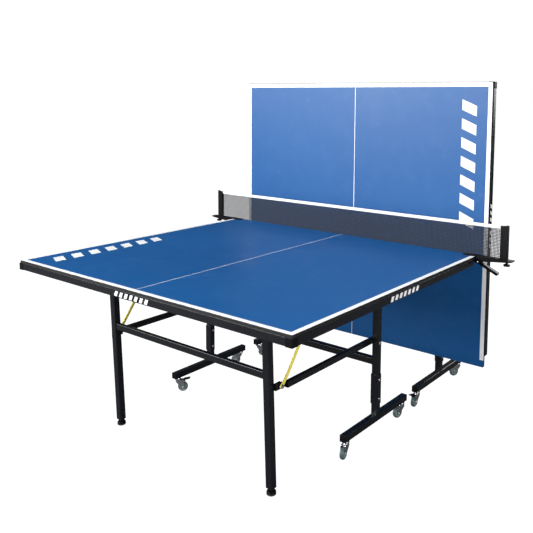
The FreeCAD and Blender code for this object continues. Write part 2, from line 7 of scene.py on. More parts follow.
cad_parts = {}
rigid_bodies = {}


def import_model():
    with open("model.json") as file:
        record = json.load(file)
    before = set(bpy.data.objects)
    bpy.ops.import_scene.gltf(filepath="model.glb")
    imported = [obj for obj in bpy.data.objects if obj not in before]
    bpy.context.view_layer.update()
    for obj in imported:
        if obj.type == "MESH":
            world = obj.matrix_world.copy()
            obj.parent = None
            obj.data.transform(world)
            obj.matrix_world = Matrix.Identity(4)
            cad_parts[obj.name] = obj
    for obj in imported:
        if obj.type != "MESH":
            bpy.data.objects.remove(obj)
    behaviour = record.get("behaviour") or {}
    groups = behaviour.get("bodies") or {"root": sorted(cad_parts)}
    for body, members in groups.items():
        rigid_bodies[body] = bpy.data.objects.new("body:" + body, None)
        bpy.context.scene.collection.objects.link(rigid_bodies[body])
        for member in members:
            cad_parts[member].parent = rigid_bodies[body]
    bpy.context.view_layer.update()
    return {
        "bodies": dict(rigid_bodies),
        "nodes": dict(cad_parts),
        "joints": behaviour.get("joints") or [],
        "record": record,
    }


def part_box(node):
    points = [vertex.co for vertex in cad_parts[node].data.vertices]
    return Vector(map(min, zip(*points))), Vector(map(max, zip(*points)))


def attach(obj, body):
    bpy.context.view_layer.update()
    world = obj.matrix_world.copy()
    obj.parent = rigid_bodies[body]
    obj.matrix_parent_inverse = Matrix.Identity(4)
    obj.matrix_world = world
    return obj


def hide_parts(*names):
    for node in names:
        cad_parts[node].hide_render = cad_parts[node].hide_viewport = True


# A two-half rollaway table tennis table. The near half lies flat and carries the net, and the far
# half stands folded upright behind the net. What both halves have is shaped once, where the near half
# has it, and the far half's copy is turned round and placed where the far half's linkage holds it.
# Lengths are in metres. Each piece is shaped in place, so its object stays at the origin.

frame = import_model()

MM = 0.001
X, Y, Z = (Vector(axis) for axis in Matrix.Identity(3))
HALVES = ("near", "far")
SIDES = ("left", "right")
JOINTS = {joint["name"]: joint for joint in frame["joints"]}
COUPLINGS = {c["joint"]: c for c in frame["record"]["behaviour"]["couplings"]}
CASTERS = [body[:-len("_swivel")] for body in frame["bodies"] if body.endswith("_swivel")]

# sizes that the frame doesn't hold
TUBE_RADIUS = 3.0 * MM
PLATE_EDGE = 0.5 * MM
SIDE_LINE = 20.0 * MM
CENTRE_LINE = 3.0 * MM
LINE_GAP_AT_NET = 35.0 * MM
MARK_COUNT = 7
MARK_FILM = 0.15 * MM
MESH_PITCH = 6.5 * MM
THREAD_RADIUS = 1.5 * MM
KNOT_RADIUS = 1.75 * MM
SCREW_PITCH = 190.0 * MM
TONGUE_RADIUS = 9.0 * MM
BOLT_RADIUS = 4.0 * MM
COLUMN_WALL = 497.0 * MM


# ---- shader groups and materials ----------------------------------------------------------------
def step(tree, kind, inputs, **settings):
    """Adds a node, sets its options, and feeds its inputs with values or with other nodes' outputs."""
    node = tree.nodes.new(kind)
    for option, value in settings.items():
        setattr(node, option, value)
    for key, value in inputs.items():
        if isinstance(value, bpy.types.NodeSocket):
            tree.links.new(value, node.inputs[key])
        else:
            node.inputs[key].default_value = value
    return node.outputs


def math_step(tree, operation, first, second=0.0, third=0.0):
    return step(tree, "ShaderNodeMath", {0: first, 1: second, 2: third}, operation=operation)[0]


def noise(tree, place, scale, detail, roughness=0.5):
    return step(tree, "ShaderNodeTexNoise",
                {"Vector": place, "Scale": scale, "Detail": detail, "Roughness": roughness})[0]


def remap(tree, value, low, high, start, finish):
    """Carries a value from one range to another, and holds it there."""
    return step(tree, "ShaderNodeMapRange", {0: value, 1: low, 2: high, 3: start, 4: finish})[0]


def own_place(tree):
    return step(tree, "ShaderNodeTexCoord", {})["Object"]


def stretch(tree, place, scale, turn=(0.0, 0.0, 0.0)):
    return step(tree, "ShaderNodeMapping", {"Vector": place, "Rotation": turn, "Scale": scale})[0]


def mix_colour(tree, factor, first, second):
    """Mixes two colours, each a colour value or a socket."""
    return step(tree, "ShaderNodeMix", {0: factor, 6: first, 7: second}, data_type="RGBA")[2]


def shade_group(name, values, results):
    """An empty shader group that takes a position and named values and gives named results."""
    group = bpy.data.node_groups.new(name, "ShaderNodeTree")
    sockets = group.interface
    sockets.new_socket(name="Position", in_out="INPUT", socket_type="NodeSocketVector")
    for title, value in values.items():
        sockets.new_socket(name=title, in_out="INPUT", socket_type="NodeSocketFloat").default_value = value
    for title in results:
        sockets.new_socket(name=title, in_out="OUTPUT", socket_type="NodeSocketFloat")
    return group, group.nodes.new("NodeGroupInput").outputs, group.nodes.new("NodeGroupOutput").inputs


def grain_group():
    """Fine grain for coated and moulded surfaces: a height, and a slow variation from 0 to 1."""
    group, given, result = shade_group("surface_grain", {"Grain Scale": 900.0, "Drift Scale": 6.0},
                                       ("Height", "Drift"))
    place = given["Position"]
    group.links.new(noise(group, place, given["Grain Scale"], 3.0, 0.6), result["Height"])
    group.links.new(noise(group, place, given["Drift Scale"], 4.0, 0.55), result["Drift"])
    return group


def handling_group():
    """Handling marks: faint scuffs in a few directions and dust, as masks from 0 to 1."""
    group, given, result = shade_group("handling_marks", {"Scuff Scale": 3.0, "Amount": 0.5},
                                       ("Scuffs", "Dust"))
    drawn_out = stretch(group, given["Position"], (1.0, 22.0, 9.0), (0.3, 0.2, 0.7))
    thin = remap(group, noise(group, drawn_out, given["Scuff Scale"], 5.0, 0.65), 0.62, 0.8, 0.0, 1.0)
    settled = remap(group, noise(group, given["Position"], 14.0, 6.0, 0.7), 0.45, 0.8, 0.0, 1.0)
    for mask, title in ((thin, "Scuffs"), (settled, "Dust")):
        group.links.new(math_step(group, "MULTIPLY", mask, given["Amount"]), result[title])
    return group


def edge_wear_group():
    """Wear where a surface turns a corner, broken up by noise, as a mask from 0 to 1."""
    group, given, result = shade_group("edge_wear", {"Break Up": 160.0, "Amount": 0.5}, ("Wear",))
    sharp = step(group, "ShaderNodeNewGeometry", {})["Pointiness"]
    ridge = remap(group, sharp, 0.52, 0.62, 0.0, 1.0)
    broken = math_step(group, "MULTIPLY", ridge, noise(group, given["Position"], given["Break Up"], 4.0))
    group.links.new(math_step(group, "MULTIPLY", broken, given["Amount"]), result["Wear"])
    return group


def weave_group():
    """A plain weave read from the piece's own position across X and Z: a height and a thread tint."""
    group, given, result = shade_group("plain_weave", {"Threads": 1200.0}, ("Height", "Tint"))
    threads = {"Vector": given["Position"], "Scale": given["Threads"], "Distortion": 0.4}
    across, along = (step(group, "ShaderNodeTexWave", threads, bands_direction=way)[1] for way in "XZ")
    group.links.new(math_step(group, "MAXIMUM", across, along), result["Height"])
    group.links.new(noise(group, given["Position"], 90.0, 3.0), result["Tint"])
    return group


GRAIN = grain_group()
HANDLING = handling_group()
EDGE_WEAR = edge_wear_group()
WEAVE = weave_group()


def use_group(tree, group, **values):
    node = tree.nodes.new("ShaderNodeGroup")
    node.node_tree = group
    tree.links.new(own_place(tree), node.inputs["Position"])
    for title, value in values.items():
        node.inputs[title.replace("_", " ")].default_value = value
    return node.outputs


def srgb(red, green, blue):
    """A linear colour from the 0 to 255 values of a paint chart."""
    def linear(value):
        share = value / 255
        return share / 12.92 if share <= 0.04045 else ((share + 0.055) / 1.055) ** 2.4
    return (linear(red), linear(green), linear(blue), 1.0)


def tinted(colour, share, more=0.0):
    """A lighter or darker version of a colour."""
    return tuple(min(1.0, c * share + more) for c in colour[:3]) + (1.0,)


def finish_material(name, **constants):
    """A material with its surface shader, whose even values are set on the shader itself."""
    material = bpy.data.materials.new(name)
    material.use_nodes = True
    tree = material.node_tree
    shader = tree.nodes["Principled BSDF"]
    for title, value in constants.items():
        shader.inputs[title.replace("_", " ")].default_value = value
    return material, tree, shader


def surface(tree, shader, colour, height, strength, depth, rough=None):
    """Feeds a shader with its colour, its bump and, if it varies, its roughness."""
    tree.links.new(colour, shader.inputs["Base Color"])
    if rough is not None:
        tree.links.new(rough, shader.inputs["Roughness"])
    normal = step(tree, "ShaderNodeBump", {"Height": height, "Strength": strength, "Distance": depth})[0]
    tree.links.new(normal, shader.inputs["Normal"])


def coated(name, colour, worn, rough, grain_scale, bump, marks=0.4, wear=0.5, **constants):
    """Paint, powder coat or moulded plastic: fine grain, a slow drift of gloss, scuffs and worn edges."""
    material, tree, shader = finish_material(name, **constants)
    grain = use_group(tree, GRAIN, Grain_Scale=grain_scale, Drift_Scale=5.0)
    handled = use_group(tree, HANDLING, Scuff_Scale=2.5, Amount=marks)
    edges = use_group(tree, EDGE_WEAR, Break_Up=140.0, Amount=wear)
    base = mix_colour(tree, grain["Drift"], tinted(colour, 0.86), tinted(colour, 1.22, 0.0006))
    dusty = math_step(tree, "MULTIPLY", handled["Dust"], 0.35)
    base = mix_colour(tree, dusty, base, tinted(colour, 0.85, 0.008))
    base = mix_colour(tree, edges["Wear"], base, worn)
    drift = remap(tree, grain["Drift"], 0.3, 0.7, rough - 0.06, rough + 0.06)
    scuffed = math_step(tree, "MULTIPLY_ADD", handled["Scuffs"], 0.22, drift)
    surface(tree, shader, base, grain["Height"], bump, 0.15 * MM, scuffed)
    return material


def metal(name, tint, rough, streak):
    """Bright zinc plate: fine draw lines, cloudy gloss and a slight change of tint."""
    material, tree, shader = finish_material(name, Metallic=1.0)
    grain = use_group(tree, GRAIN, Grain_Scale=700.0, Drift_Scale=40.0)
    lines = noise(tree, stretch(tree, own_place(tree), (1.0, 1.0, 30.0)), 120.0, 4.0)
    base = mix_colour(tree, grain["Drift"], tinted(tint, 0.8), tint)
    cloudy = remap(tree, lines, 0.3, 0.7, rough - 0.08, rough + 0.12)
    surface(tree, shader, base, lines, streak, 0.05 * MM, cloudy)
    return material


def cloth(name, colour, shade, rough, threads, bump):
    """Woven cloth: threads each way, uneven dye, a soft surface."""
    material, tree, shader = finish_material(name, Roughness=rough, Sheen_Weight=0.25, Sheen_Roughness=0.5)
    weave = use_group(tree, WEAVE, Threads=threads)
    surface(tree, shader, mix_colour(tree, weave["Tint"], shade, colour), weave["Height"], bump, 0.15 * MM)
    return material


def board_paint():
    """Blue playing surface: even matt paint with orange peel, faint cloudiness and ball marks."""
    material, tree, shader = finish_material("board_paint", IOR=1.42)
    grain = use_group(tree, GRAIN, Grain_Scale=420.0, Drift_Scale=1.7)
    handled = use_group(tree, HANDLING, Scuff_Scale=1.6, Amount=0.5)
    base = mix_colour(tree, grain["Drift"], srgb(4, 74, 133), srgb(7, 85, 146))
    spots = step(tree, "ShaderNodeTexVoronoi",
                 {"Vector": own_place(tree), "Scale": 7.0, "Randomness": 1.0})["Distance"]
    ball = remap(tree, spots, 0.05, 0.12, 0.1, 0.0)
    base = mix_colour(tree, ball, base, srgb(70, 120, 190))
    dusty = math_step(tree, "MULTIPLY", handled["Dust"], 0.10)
    base = mix_colour(tree, dusty, base, srgb(120, 150, 190))
    drift = remap(tree, grain["Drift"], 0.3, 0.7, 0.40, 0.48)
    rough = math_step(tree, "MULTIPLY_ADD", handled["Scuffs"], 0.10, drift)
    surface(tree, shader, base, grain["Height"], 0.10, 0.2 * MM, rough)
    return material


def fibreboard(name):
    """The sealed underside of a board: dark paint over pressed fibres."""
    material, tree, shader = finish_material(name)
    grain = use_group(tree, GRAIN, Grain_Scale=260.0, Drift_Scale=3.0)
    pressed = stretch(tree, own_place(tree), (1.0, 7.0, 4.0), (0.2, 0.5, 0.9))
    fibres = noise(tree, pressed, 150.0, 5.0, 0.7)
    strands = remap(tree, fibres, 0.5, 0.8, 0.0, 0.5)
    base = mix_colour(tree, strands, srgb(30, 32, 36), srgb(58, 60, 64))
    surface(tree, shader, base, fibres, 0.25, 0.2 * MM, remap(tree, grain["Drift"], 0.3, 0.7, 0.6, 0.75))
    return material


BLACK_STEEL = coated("powder_coat_black", srgb(5, 6, 9), srgb(56, 60, 68), 0.25, 1100.0, 0.07,
                     Specular_IOR_Level=0.42)
BLACK_PLASTIC = coated("moulded_plastic_black", srgb(5, 5, 7), srgb(34, 34, 38), 0.46, 1500.0, 0.16, wear=0.3,
                       Specular_IOR_Level=0.12)
GLOSS_PLASTIC = coated("gloss_plastic_black", srgb(8, 8, 10), srgb(32, 32, 36), 0.24, 1500.0, 0.05, wear=0.2,
                       Specular_IOR_Level=0.35)
BOARD_EDGE = coated("board_edge_black", srgb(9, 8, 8), srgb(60, 46, 36), 0.5, 500.0, 0.12, wear=0.4)
BOARD_BLUE = board_paint()
LINE_WHITE = coated("line_paint_white", srgb(236, 238, 240), srgb(200, 202, 205), 0.42, 520.0, 0.06, wear=0.1)
UNDERSIDE = fibreboard("fibreboard_dark")
ZINC = metal("zinc_bright", (0.90, 0.91, 0.92, 1.0), 0.22, streak=0.06)
STRUT_YELLOW = coated("strut_paint_yellow", srgb(244, 222, 84), srgb(190, 188, 170), 0.34, 700.0, 0.05,
                      wear=0.7)
TYRE_GREY = coated("tyre_grey", srgb(66, 84, 88), srgb(96, 110, 112), 0.52, 900.0, 0.10, wear=0.2)
HUB_GREY = coated("hub_grey", srgb(118, 130, 128), srgb(150, 158, 156), 0.40, 1200.0, 0.06, wear=0.2)
FOOT_RUBBER = coated("foot_rubber", srgb(20, 20, 21), srgb(40, 40, 42), 0.7, 800.0, 0.2, wear=0.3)
NET_THREAD = cloth("net_thread", srgb(17, 19, 28), srgb(11, 13, 20), 0.75, 900.0, 0.3)
TAPE_WHITE = cloth("tape_cotton", srgb(244, 244, 242), srgb(222, 223, 224), 0.8, 700.0, 0.35)
STITCH_WHITE = cloth("stitch_thread", srgb(228, 228, 224), srgb(205, 205, 202), 0.7, 2600.0, 0.3)

# finishes with the record's slot that each belongs to
STEEL = ([BLACK_STEEL], "frame_black")
PLASTIC = ([BLACK_PLASTIC], "plastic_black")
PLATED = ([ZINC], "bright_zinc")


# ---- mesh helpers -------------------------------------------------------------------------------
def in_mm(*points):
    """Points that are written in millimetres, as points in metres."""
    return [tuple(c * MM for c in point) for point in points]


def mesh_of(name, shape):
    """A mesh from a bmesh, which is freed."""
    mesh = bpy.data.meshes.new(name)
    shape.to_mesh(mesh)
    shape.free()
    return mesh


def put_in_scene(name, data):
    thing = bpy.data.objects.new(name, data)
    bpy.context.scene.collection.objects.link(thing)
    return thing


def piece(name, shape, finish, body, replaced=(), angle=35.0):
    """A finished piece from a mesh or bmesh: smooth where it curves, flat elsewhere, riding on a body."""
    materials, slot = finish
    mesh = shape if isinstance(shape, bpy.types.Mesh) else mesh_of(name, shape)
    mesh.name = name
    for material in materials[len(mesh.materials):]:
        mesh.materials.append(material)
    mesh.shade_smooth()
    mesh.set_sharp_from_angle(angle=math.radians(angle))
    thing = put_in_scene(name, mesh)
    even = thing.modifiers.new("even_shading", "WEIGHTED_NORMAL")
    even.keep_sharp = True
    even.weight = 60
    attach(thing, body)
    if replaced:
        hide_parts(*replaced)
    return thing


def merged_copy(node):
    """The node's surface with its triangles joined and its flat faces whole."""
    shape = bmesh.new()
    shape.from_mesh(frame["nodes"][node].data)
    bmesh.ops.remove_doubles(shape, verts=shape.verts, dist=1e-6)
    bmesh.ops.dissolve_limit(shape, angle_limit=math.radians(0.5), verts=shape.verts[:], edges=shape.edges[:])
    return shape


def solids(shape):
    """The separate solids in a mesh, each as a list of its vertices, in a fixed order."""
    seen = set()
    groups = []
    for start in shape.verts:
        if start in seen:
            continue
        seen.add(start)
        group = [start]
        for vert in group:
            for edge in vert.link_edges:
                other = edge.other_vert(vert)
                if other not in seen:
                    seen.add(other)
                    group.append(other)
        groups.append(group)
    return groups


def limits(points):
    """The lowest and highest corner of some points."""
    return tuple(Vector([pick(p[i] for p in points) for i in range(3)]) for pick in (min, max))


def solid_boxes(node):
    """The box of each separate solid of a CAD node, from the lowest place to the highest."""
    shape = merged_copy(node)
    boxes = [limits([v.co for v in group]) for group in solids(shape)]
    shape.free()
    return sorted(boxes, key=lambda box: (round(box[0].z, 5), round(box[0].y, 5), round(box[0].x, 5)))


def pour(target, source):
    """Adds one bmesh to another, and frees the source."""
    mesh = mesh_of("poured", source)
    target.from_mesh(mesh)
    bpy.data.meshes.remove(mesh)


def poured(shapes):
    """One bmesh of many."""
    whole = bmesh.new()
    for shape in shapes:
        pour(whole, shape)
    return whole


def settle(shape, place):
    """Moves a shape to its place."""
    bmesh.ops.transform(shape, matrix=place, verts=shape.verts[:])
    return shape


def cut(shape, point, normal):
    bmesh.ops.bisect_plane(shape, geom=shape.verts[:] + shape.edges[:] + shape.faces[:],
                           plane_co=point, plane_no=normal)


def steep_edges(shape, degrees):
    """The outward edges where two faces meet at more than an angle."""
    return [e for e in shape.edges
            if len(e.link_faces) == 2 and e.calc_face_angle_signed(0.0) > math.radians(degrees)]


def round_off(shape, edges, radius, steps=2):
    if edges:
        bmesh.ops.bevel(shape, geom=edges, offset=radius, segments=steps, profile=0.5,
                        affect="EDGES", clamp_overlap=True)


def rounded_bar(points, radius, end_radius=0.5 * MM):
    """A closed bar around the points: long edges with the radius of rolled tube, and eased ends."""
    bar = bmesh.new()
    for point in points:
        bar.verts.new(point)
    hull = bmesh.ops.convex_hull(bar, input=bar.verts[:])
    spare = {v for v in hull["geom_interior"] + hull["geom_unused"] if isinstance(v, bmesh.types.BMVert)}
    bmesh.ops.delete(bar, geom=list(spare), context="VERTS")
    bmesh.ops.dissolve_limit(bar, angle_limit=math.radians(1.0), verts=bar.verts[:], edges=bar.edges[:])
    longest = max(e.calc_length() for e in bar.edges)
    round_off(bar, [e for e in bar.edges if e.calc_length() > 0.6 * longest], radius, 4)
    round_off(bar, steep_edges(bar, 60.0), end_radius)
    return bar


def box_bar(low, high, radius, end_radius=0.5 * MM):
    corners = [(x, y, z) for x in (low[0], high[0]) for y in (low[1], high[1]) for z in (low[2], high[2])]
    return rounded_bar(corners, radius, end_radius)


def eased_solid(source, group, radius):
    """A copy of one solid of a bmesh with its sharp outer edges eased."""
    copy = source.copy()
    copy.verts.ensure_lookup_table()
    source.verts.index_update()
    wanted = {v.index for v in group}
    bmesh.ops.delete(copy, geom=[v for v in copy.verts if v.index not in wanted], context="VERTS")
    round_off(copy, steep_edges(copy, 50.0), radius)
    return copy


def softened(node, radius=PLATE_EDGE, bar_length=90.0 * MM):
    """A node's solids made over: long ones as rolled tube, and the others with eased edges."""
    whole = bmesh.new()
    source = merged_copy(node)
    for group in solids(source):
        low, high = limits([v.co for v in group])
        if max(high - low) > bar_length:
            pour(whole, rounded_bar([v.co.copy() for v in group], TUBE_RADIUS))
        else:
            pour(whole, eased_solid(source, group, radius))
    source.free()
    return whole


def rounded_outline(corners, steps=4):
    """A closed outline through (u, v, radius) corners, each rounded by an arc."""
    outline = []
    count = len(corners)
    for i, (u, v, radius) in enumerate(corners):
        here = Vector((u, v))
        before = (Vector(corners[i - 1][:2]) - here).normalized()
        after = (Vector(corners[(i + 1) % count][:2]) - here).normalized()
        if radius <= 0:
            outline.append(here)
            continue
        half_angle = before.angle(after) / 2
        reach = radius / math.tan(half_angle)
        centre = here + (before + after).normalized() * radius / math.sin(half_angle)
        start = here + before * reach - centre
        sweep = start.angle_signed(here + after * reach - centre)
        for k in range(steps + 1):
            outline.append(centre + Matrix.Rotation(-sweep * k / steps, 2) @ start)
    return outline


def axes(u, v, w, origin=(0, 0, 0)):
    """A placement that lays local X, Y and Z along three directions."""
    return Matrix.Translation(origin) @ Matrix((u, v, w)).transposed().to_4x4()


def extruded(outline, low, high, place=Matrix.Identity(4), end_radius=0.0):
    """A bar with a constant outline: (u, v) of the outline and w from low to high, put in place."""
    shape = bmesh.new()
    rings = [[shape.verts.new(place @ Vector((p[0], p[1], w))) for p in outline] for w in (low, high)]
    shape.faces.new(reversed(rings[0]))
    shape.faces.new(rings[1])
    count = len(outline)
    for i in range(count):
        n = (i + 1) % count
        shape.faces.new((rings[0][i], rings[0][n], rings[1][n], rings[1][i]))
    bmesh.ops.recalc_face_normals(shape, faces=shape.faces[:])
    if end_radius:
        rims = [e for e in shape.edges if any(len(f.verts) == count for f in e.link_faces)]
        round_off(shape, rims, end_radius)
    return shape


def lathed(profile, place=Matrix.Identity(4), steps=32, flute=None):
    """A turned solid about local Z from (radius, height) points, closed where the radius is 0.
    flute(height, angle) may draw the radius in."""
    shape = bmesh.new()
    rings = []
    for radius, height in profile:
        if radius <= 0:
            rings.append([shape.verts.new(place @ Vector((0, 0, height)))])
            continue
        ring = []
        for k in range(steps):
            angle = math.tau * k / steps
            reach = radius * (flute(height, angle) if flute else 1.0)
            spot = Vector((reach * math.cos(angle), reach * math.sin(angle), height))
            ring.append(shape.verts.new(place @ spot))
        rings.append(ring)
    for a, b in zip(rings, rings[1:]):
        for k in range(steps):
            n = (k + 1) % steps
            corners = list(dict.fromkeys([a[k % len(a)], a[n % len(a)], b[n % len(b)], b[k % len(b)]]))
            if len(corners) > 2:
                shape.faces.new(corners)
    bmesh.ops.recalc_face_normals(shape, faces=shape.faces[:])
    return shape


def arc(centre, radius, start, finish, steps):
    """Points of an arc in (radius, height), in degrees."""
    angles = [math.radians(start + (finish - start) * k / steps) for k in range(steps + 1)]
    return [(centre[0] + radius * math.cos(a), centre[1] + radius * math.sin(a)) for a in angles]


def paint_faces(shape, choose):
    """Gives each face the material number that choose(face) says."""
    for face in shape.faces:
        face.material_index = choose(face)
    return shape


def pointing(place, direction):
    """A placement whose local Z points along a level direction."""
    z = Vector(direction).normalized()
    x = Z.cross(z).normalized()
    return axes(x, z.cross(x), z, place)


# ---- geometry node trees ------------------------------------------------------------------------
def shape_tree(name, **inputs):
    """An empty Geometry Nodes tree with named inputs (name: kind of socket) and a finish."""
    tree = bpy.data.node_groups.new(name, "GeometryNodeTree")
    sockets = tree.interface
    for title, kind in {"Geometry": "Geometry", **inputs, "Finish": "Material"}.items():
        sockets.new_socket(name=title.replace("_", " "), in_out="INPUT", socket_type="NodeSocket" + kind)
    sockets.new_socket(name="Geometry", in_out="OUTPUT", socket_type="NodeSocketGeometry")
    return tree, tree.nodes.new("NodeGroupInput").outputs


def end_tree(tree, geometry, finish):
    """Real geometry with its material, as every tree ends."""
    real = step(tree, "GeometryNodeRealizeInstances", {"Geometry": geometry})[0]
    painted = step(tree, "GeometryNodeSetMaterial", {"Geometry": real, "Material": finish})[0]
    tree.links.new(painted, tree.nodes.new("NodeGroupOutput").inputs[0])
    return tree


def grown(name, tree, source=None, **values):
    """The plain mesh that a tree makes from a source mesh and its named inputs."""
    holder = put_in_scene(name, source or bpy.data.meshes.new(name))
    modifier = holder.modifiers.new("grow", "NODES")
    modifier.node_group = tree
    sockets = {item.name: item.identifier for item in tree.interface.items_tree if item.in_out == "INPUT"}
    for title, value in values.items():
        modifier[sockets[title.replace("_", " ")]] = value
    view = bpy.context.evaluated_depsgraph_get()
    mesh = bpy.data.meshes.new_from_object(holder.evaluated_get(view))
    holder.modifiers.clear()
    bpy.data.objects.remove(holder)
    return mesh


def fastener_tree():
    """Sets one part on every point, turned so that its Z follows the point's facing direction."""
    tree, given = shape_tree("fasteners", Part="Object")
    part = step(tree, "GeometryNodeObjectInfo", {"Object": given["Part"]})["Geometry"]
    facing = step(tree, "GeometryNodeInputNamedAttribute", {"Name": "facing"}, data_type="FLOAT_VECTOR")[0]
    turn = step(tree, "FunctionNodeAlignRotationToVector", {"Vector": facing}, axis="Z")[0]
    placed = step(tree, "GeometryNodeInstanceOnPoints",
                  {"Points": given["Geometry"], "Instance": part, "Rotation": turn})[0]
    return end_tree(tree, placed, given["Finish"])


def weld_tree():
    """A rippled weld bead along closed rings of edges."""
    tree, given = shape_tree("weld_bead", Bead_Radius="Float", Ripple_Pitch="Float")
    path = step(tree, "GeometryNodeMeshToCurve", {"Mesh": given["Geometry"]})[0]
    even = step(tree, "GeometryNodeResampleCurve", {"Curve": path, "Length": given["Ripple Pitch"]},
                mode="LENGTH")[0]
    wave = math_step(tree, "MULTIPLY", step(tree, "GeometryNodeInputIndex", {})[0], 2.1)
    swell = math_step(tree, "MULTIPLY_ADD", math_step(tree, "SINE", wave), 0.16, 1.0)
    size = math_step(tree, "MULTIPLY", swell, given["Bead Radius"])
    ring = step(tree, "GeometryNodeCurvePrimitiveCircle", {"Resolution": 7, "Radius": 1.0})[0]
    bead = step(tree, "GeometryNodeCurveToMesh",
                {"Curve": even, "Profile Curve": ring, "Scale": size, "Fill Caps": True})[0]
    return end_tree(tree, bead, given["Finish"])


def net_tree():
    """A net of crossing threads with a knot at every crossing, in the X and Z plane."""
    tree, given = shape_tree("net_threads", Width="Float", Height="Float", Columns="Int", Rows="Int",
                             Thread_Radius="Float", Knot_Radius="Float", Centre="Vector")
    grid = step(tree, "GeometryNodeMeshGrid",
                {"Size X": given["Width"], "Size Y": given["Height"],
                 "Vertices X": given["Columns"], "Vertices Y": given["Rows"]})[0]
    sway = (0.4 * MM, 0.4 * MM, 0.2 * MM)
    chance = step(tree, "FunctionNodeRandomValue",
                  {"Min": tuple(-s for s in sway), "Max": sway, "Seed": 7,
                   "ID": step(tree, "GeometryNodeInputIndex", {})[0]}, data_type="FLOAT_VECTOR")[0]
    uneven = step(tree, "GeometryNodeSetPosition", {"Geometry": grid, "Offset": chance})[0]
    paths = step(tree, "GeometryNodeMeshToCurve", {"Mesh": uneven})[0]
    ring = step(tree, "GeometryNodeCurvePrimitiveCircle",
                {"Resolution": 4, "Radius": given["Thread Radius"]})[0]
    threads = step(tree, "GeometryNodeCurveToMesh",
                   {"Curve": paths, "Profile Curve": ring, "Fill Caps": True})[0]
    knot = step(tree, "GeometryNodeMeshIcoSphere", {"Radius": given["Knot Radius"], "Subdivisions": 1})[0]
    knots = step(tree, "GeometryNodeInstanceOnPoints", {"Points": uneven, "Instance": knot})[0]
    both = tree.nodes.new("GeometryNodeJoinGeometry")
    for part in (threads, knots):
        tree.links.new(part, both.inputs[0])
    upright = step(tree, "GeometryNodeTransform",
                   {"Geometry": both.outputs[0], "Translation": given["Centre"],
                    "Rotation": (math.pi / 2, 0.0, 0.0), "Scale": (1.0, 1.0, 0.6)})[0]
    return end_tree(tree, upright, given["Finish"])


def stitch_tree():
    """A row of short raised stitches along X."""
    tree, given = shape_tree("stitches", Start="Vector", Length="Float", Count="Int", Stitch_Length="Float",
                             Thread_Radius="Float")
    pitch = math_step(tree, "DIVIDE", given["Length"], math_step(tree, "SUBTRACT", given["Count"], 1.0))
    offset = step(tree, "ShaderNodeCombineXYZ", {"X": pitch})[0]
    row = step(tree, "GeometryNodeMeshLine",
               {"Count": given["Count"], "Start Location": given["Start"], "Offset": offset})[0]
    thread = step(tree, "GeometryNodeMeshUVSphere",
                  {"Segments": 6, "Rings": 4, "Radius": given["Thread Radius"]})[0]
    share = math_step(tree, "DIVIDE", given["Stitch Length"], given["Thread Radius"])
    size = step(tree, "ShaderNodeCombineXYZ",
                {"X": math_step(tree, "MULTIPLY", share, 0.5), "Y": 1.0, "Z": 1.0})[0]
    stitches = step(tree, "GeometryNodeInstanceOnPoints",
                    {"Points": row, "Instance": thread, "Scale": size})[0]
    return end_tree(tree, stitches, given["Finish"])


FASTENERS = fastener_tree()
WELD = weld_tree()
NET = net_tree()
STITCHES = stitch_tree()


def hex_profile(across_flats, height, washer=0.0):
    """A hex head on an optional washer, with the chamfer that a forged head has."""
    whole = bmesh.new()
    base = 0.0
    if washer:
        base = 1.2 * MM
        rim = [(washer, 0), (washer, 0.9 * MM), (washer - 0.3 * MM, base)]
        pour(whole, lathed([(0, 0), *rim, (0, base)], steps=20))
    corner = across_flats / math.sqrt(3)
    turns = [math.tau * k / 6 for k in range(6)]
    body = extruded([(corner * math.cos(a), corner * math.sin(a)) for a in turns], base, base + height)
    top = [e for e in body.edges if all(v.co.z > base + height - 1e-6 for v in e.verts)]
    round_off(body, top, 0.12 * across_flats)
    pour(whole, body)
    return whole


def template(name, shape):
    return put_in_scene(name, mesh_of(name, shape))


HEX_HEAD = template("hex_head_template", hex_profile(12.0 * MM, 3.9 * MM, washer=7.6 * MM))
SMALL_HEX = template("small_hex_template", hex_profile(9.5 * MM, 3.4 * MM, washer=6.4 * MM))
WIDE_HEX = template("wide_hex_template", hex_profile(14.0 * MM, 3.7 * MM, washer=8.6 * MM))
PAN_SCREW = template("pan_screw_template", lathed(
    in_mm((0, -0.2), (4.6, -0.2), (4.6, 0.5), (4.0, 1.6), (2.6, 2.4), (1.3, 2.6), (1.1, 1.4), (0, 1.3)),
    steps=14))
DOME = [(4.4 * math.cos(a), 2.0 * math.sin(a)) for a in (0.0, 0.4, 0.8, 1.2)]
DOME_RIVET = template("dome_rivet_template", lathed(in_mm((0, -0.3), (4.4, -0.3), *DOME, (0, 2.0)), steps=16))


def fasteners(name, part, spots, body):
    """One part on each of the (place, direction) spots."""
    mesh = bpy.data.meshes.new("spots")
    mesh.from_pydata([tuple(place) for place, _ in spots], [], [])
    facing = mesh.attributes.new("facing", "FLOAT_VECTOR", "POINT")
    for i, (_, direction) in enumerate(spots):
        facing.data[i].vector = direction
    return piece(name, grown(name, FASTENERS, mesh, Part=part, Finish=ZINC), PLATED, body)


def ring_of(centre, across, along, width, height):
    """A closed rounded rectangle of points round a joint between two tubes."""
    corners = [(u * width / 2, v * height / 2, TUBE_RADIUS) for u, v in ((-1, -1), (1, -1), (1, 1), (-1, 1))]
    return [Vector(centre) + across * p[0] + along * p[1] for p in rounded_outline(corners, 3)]


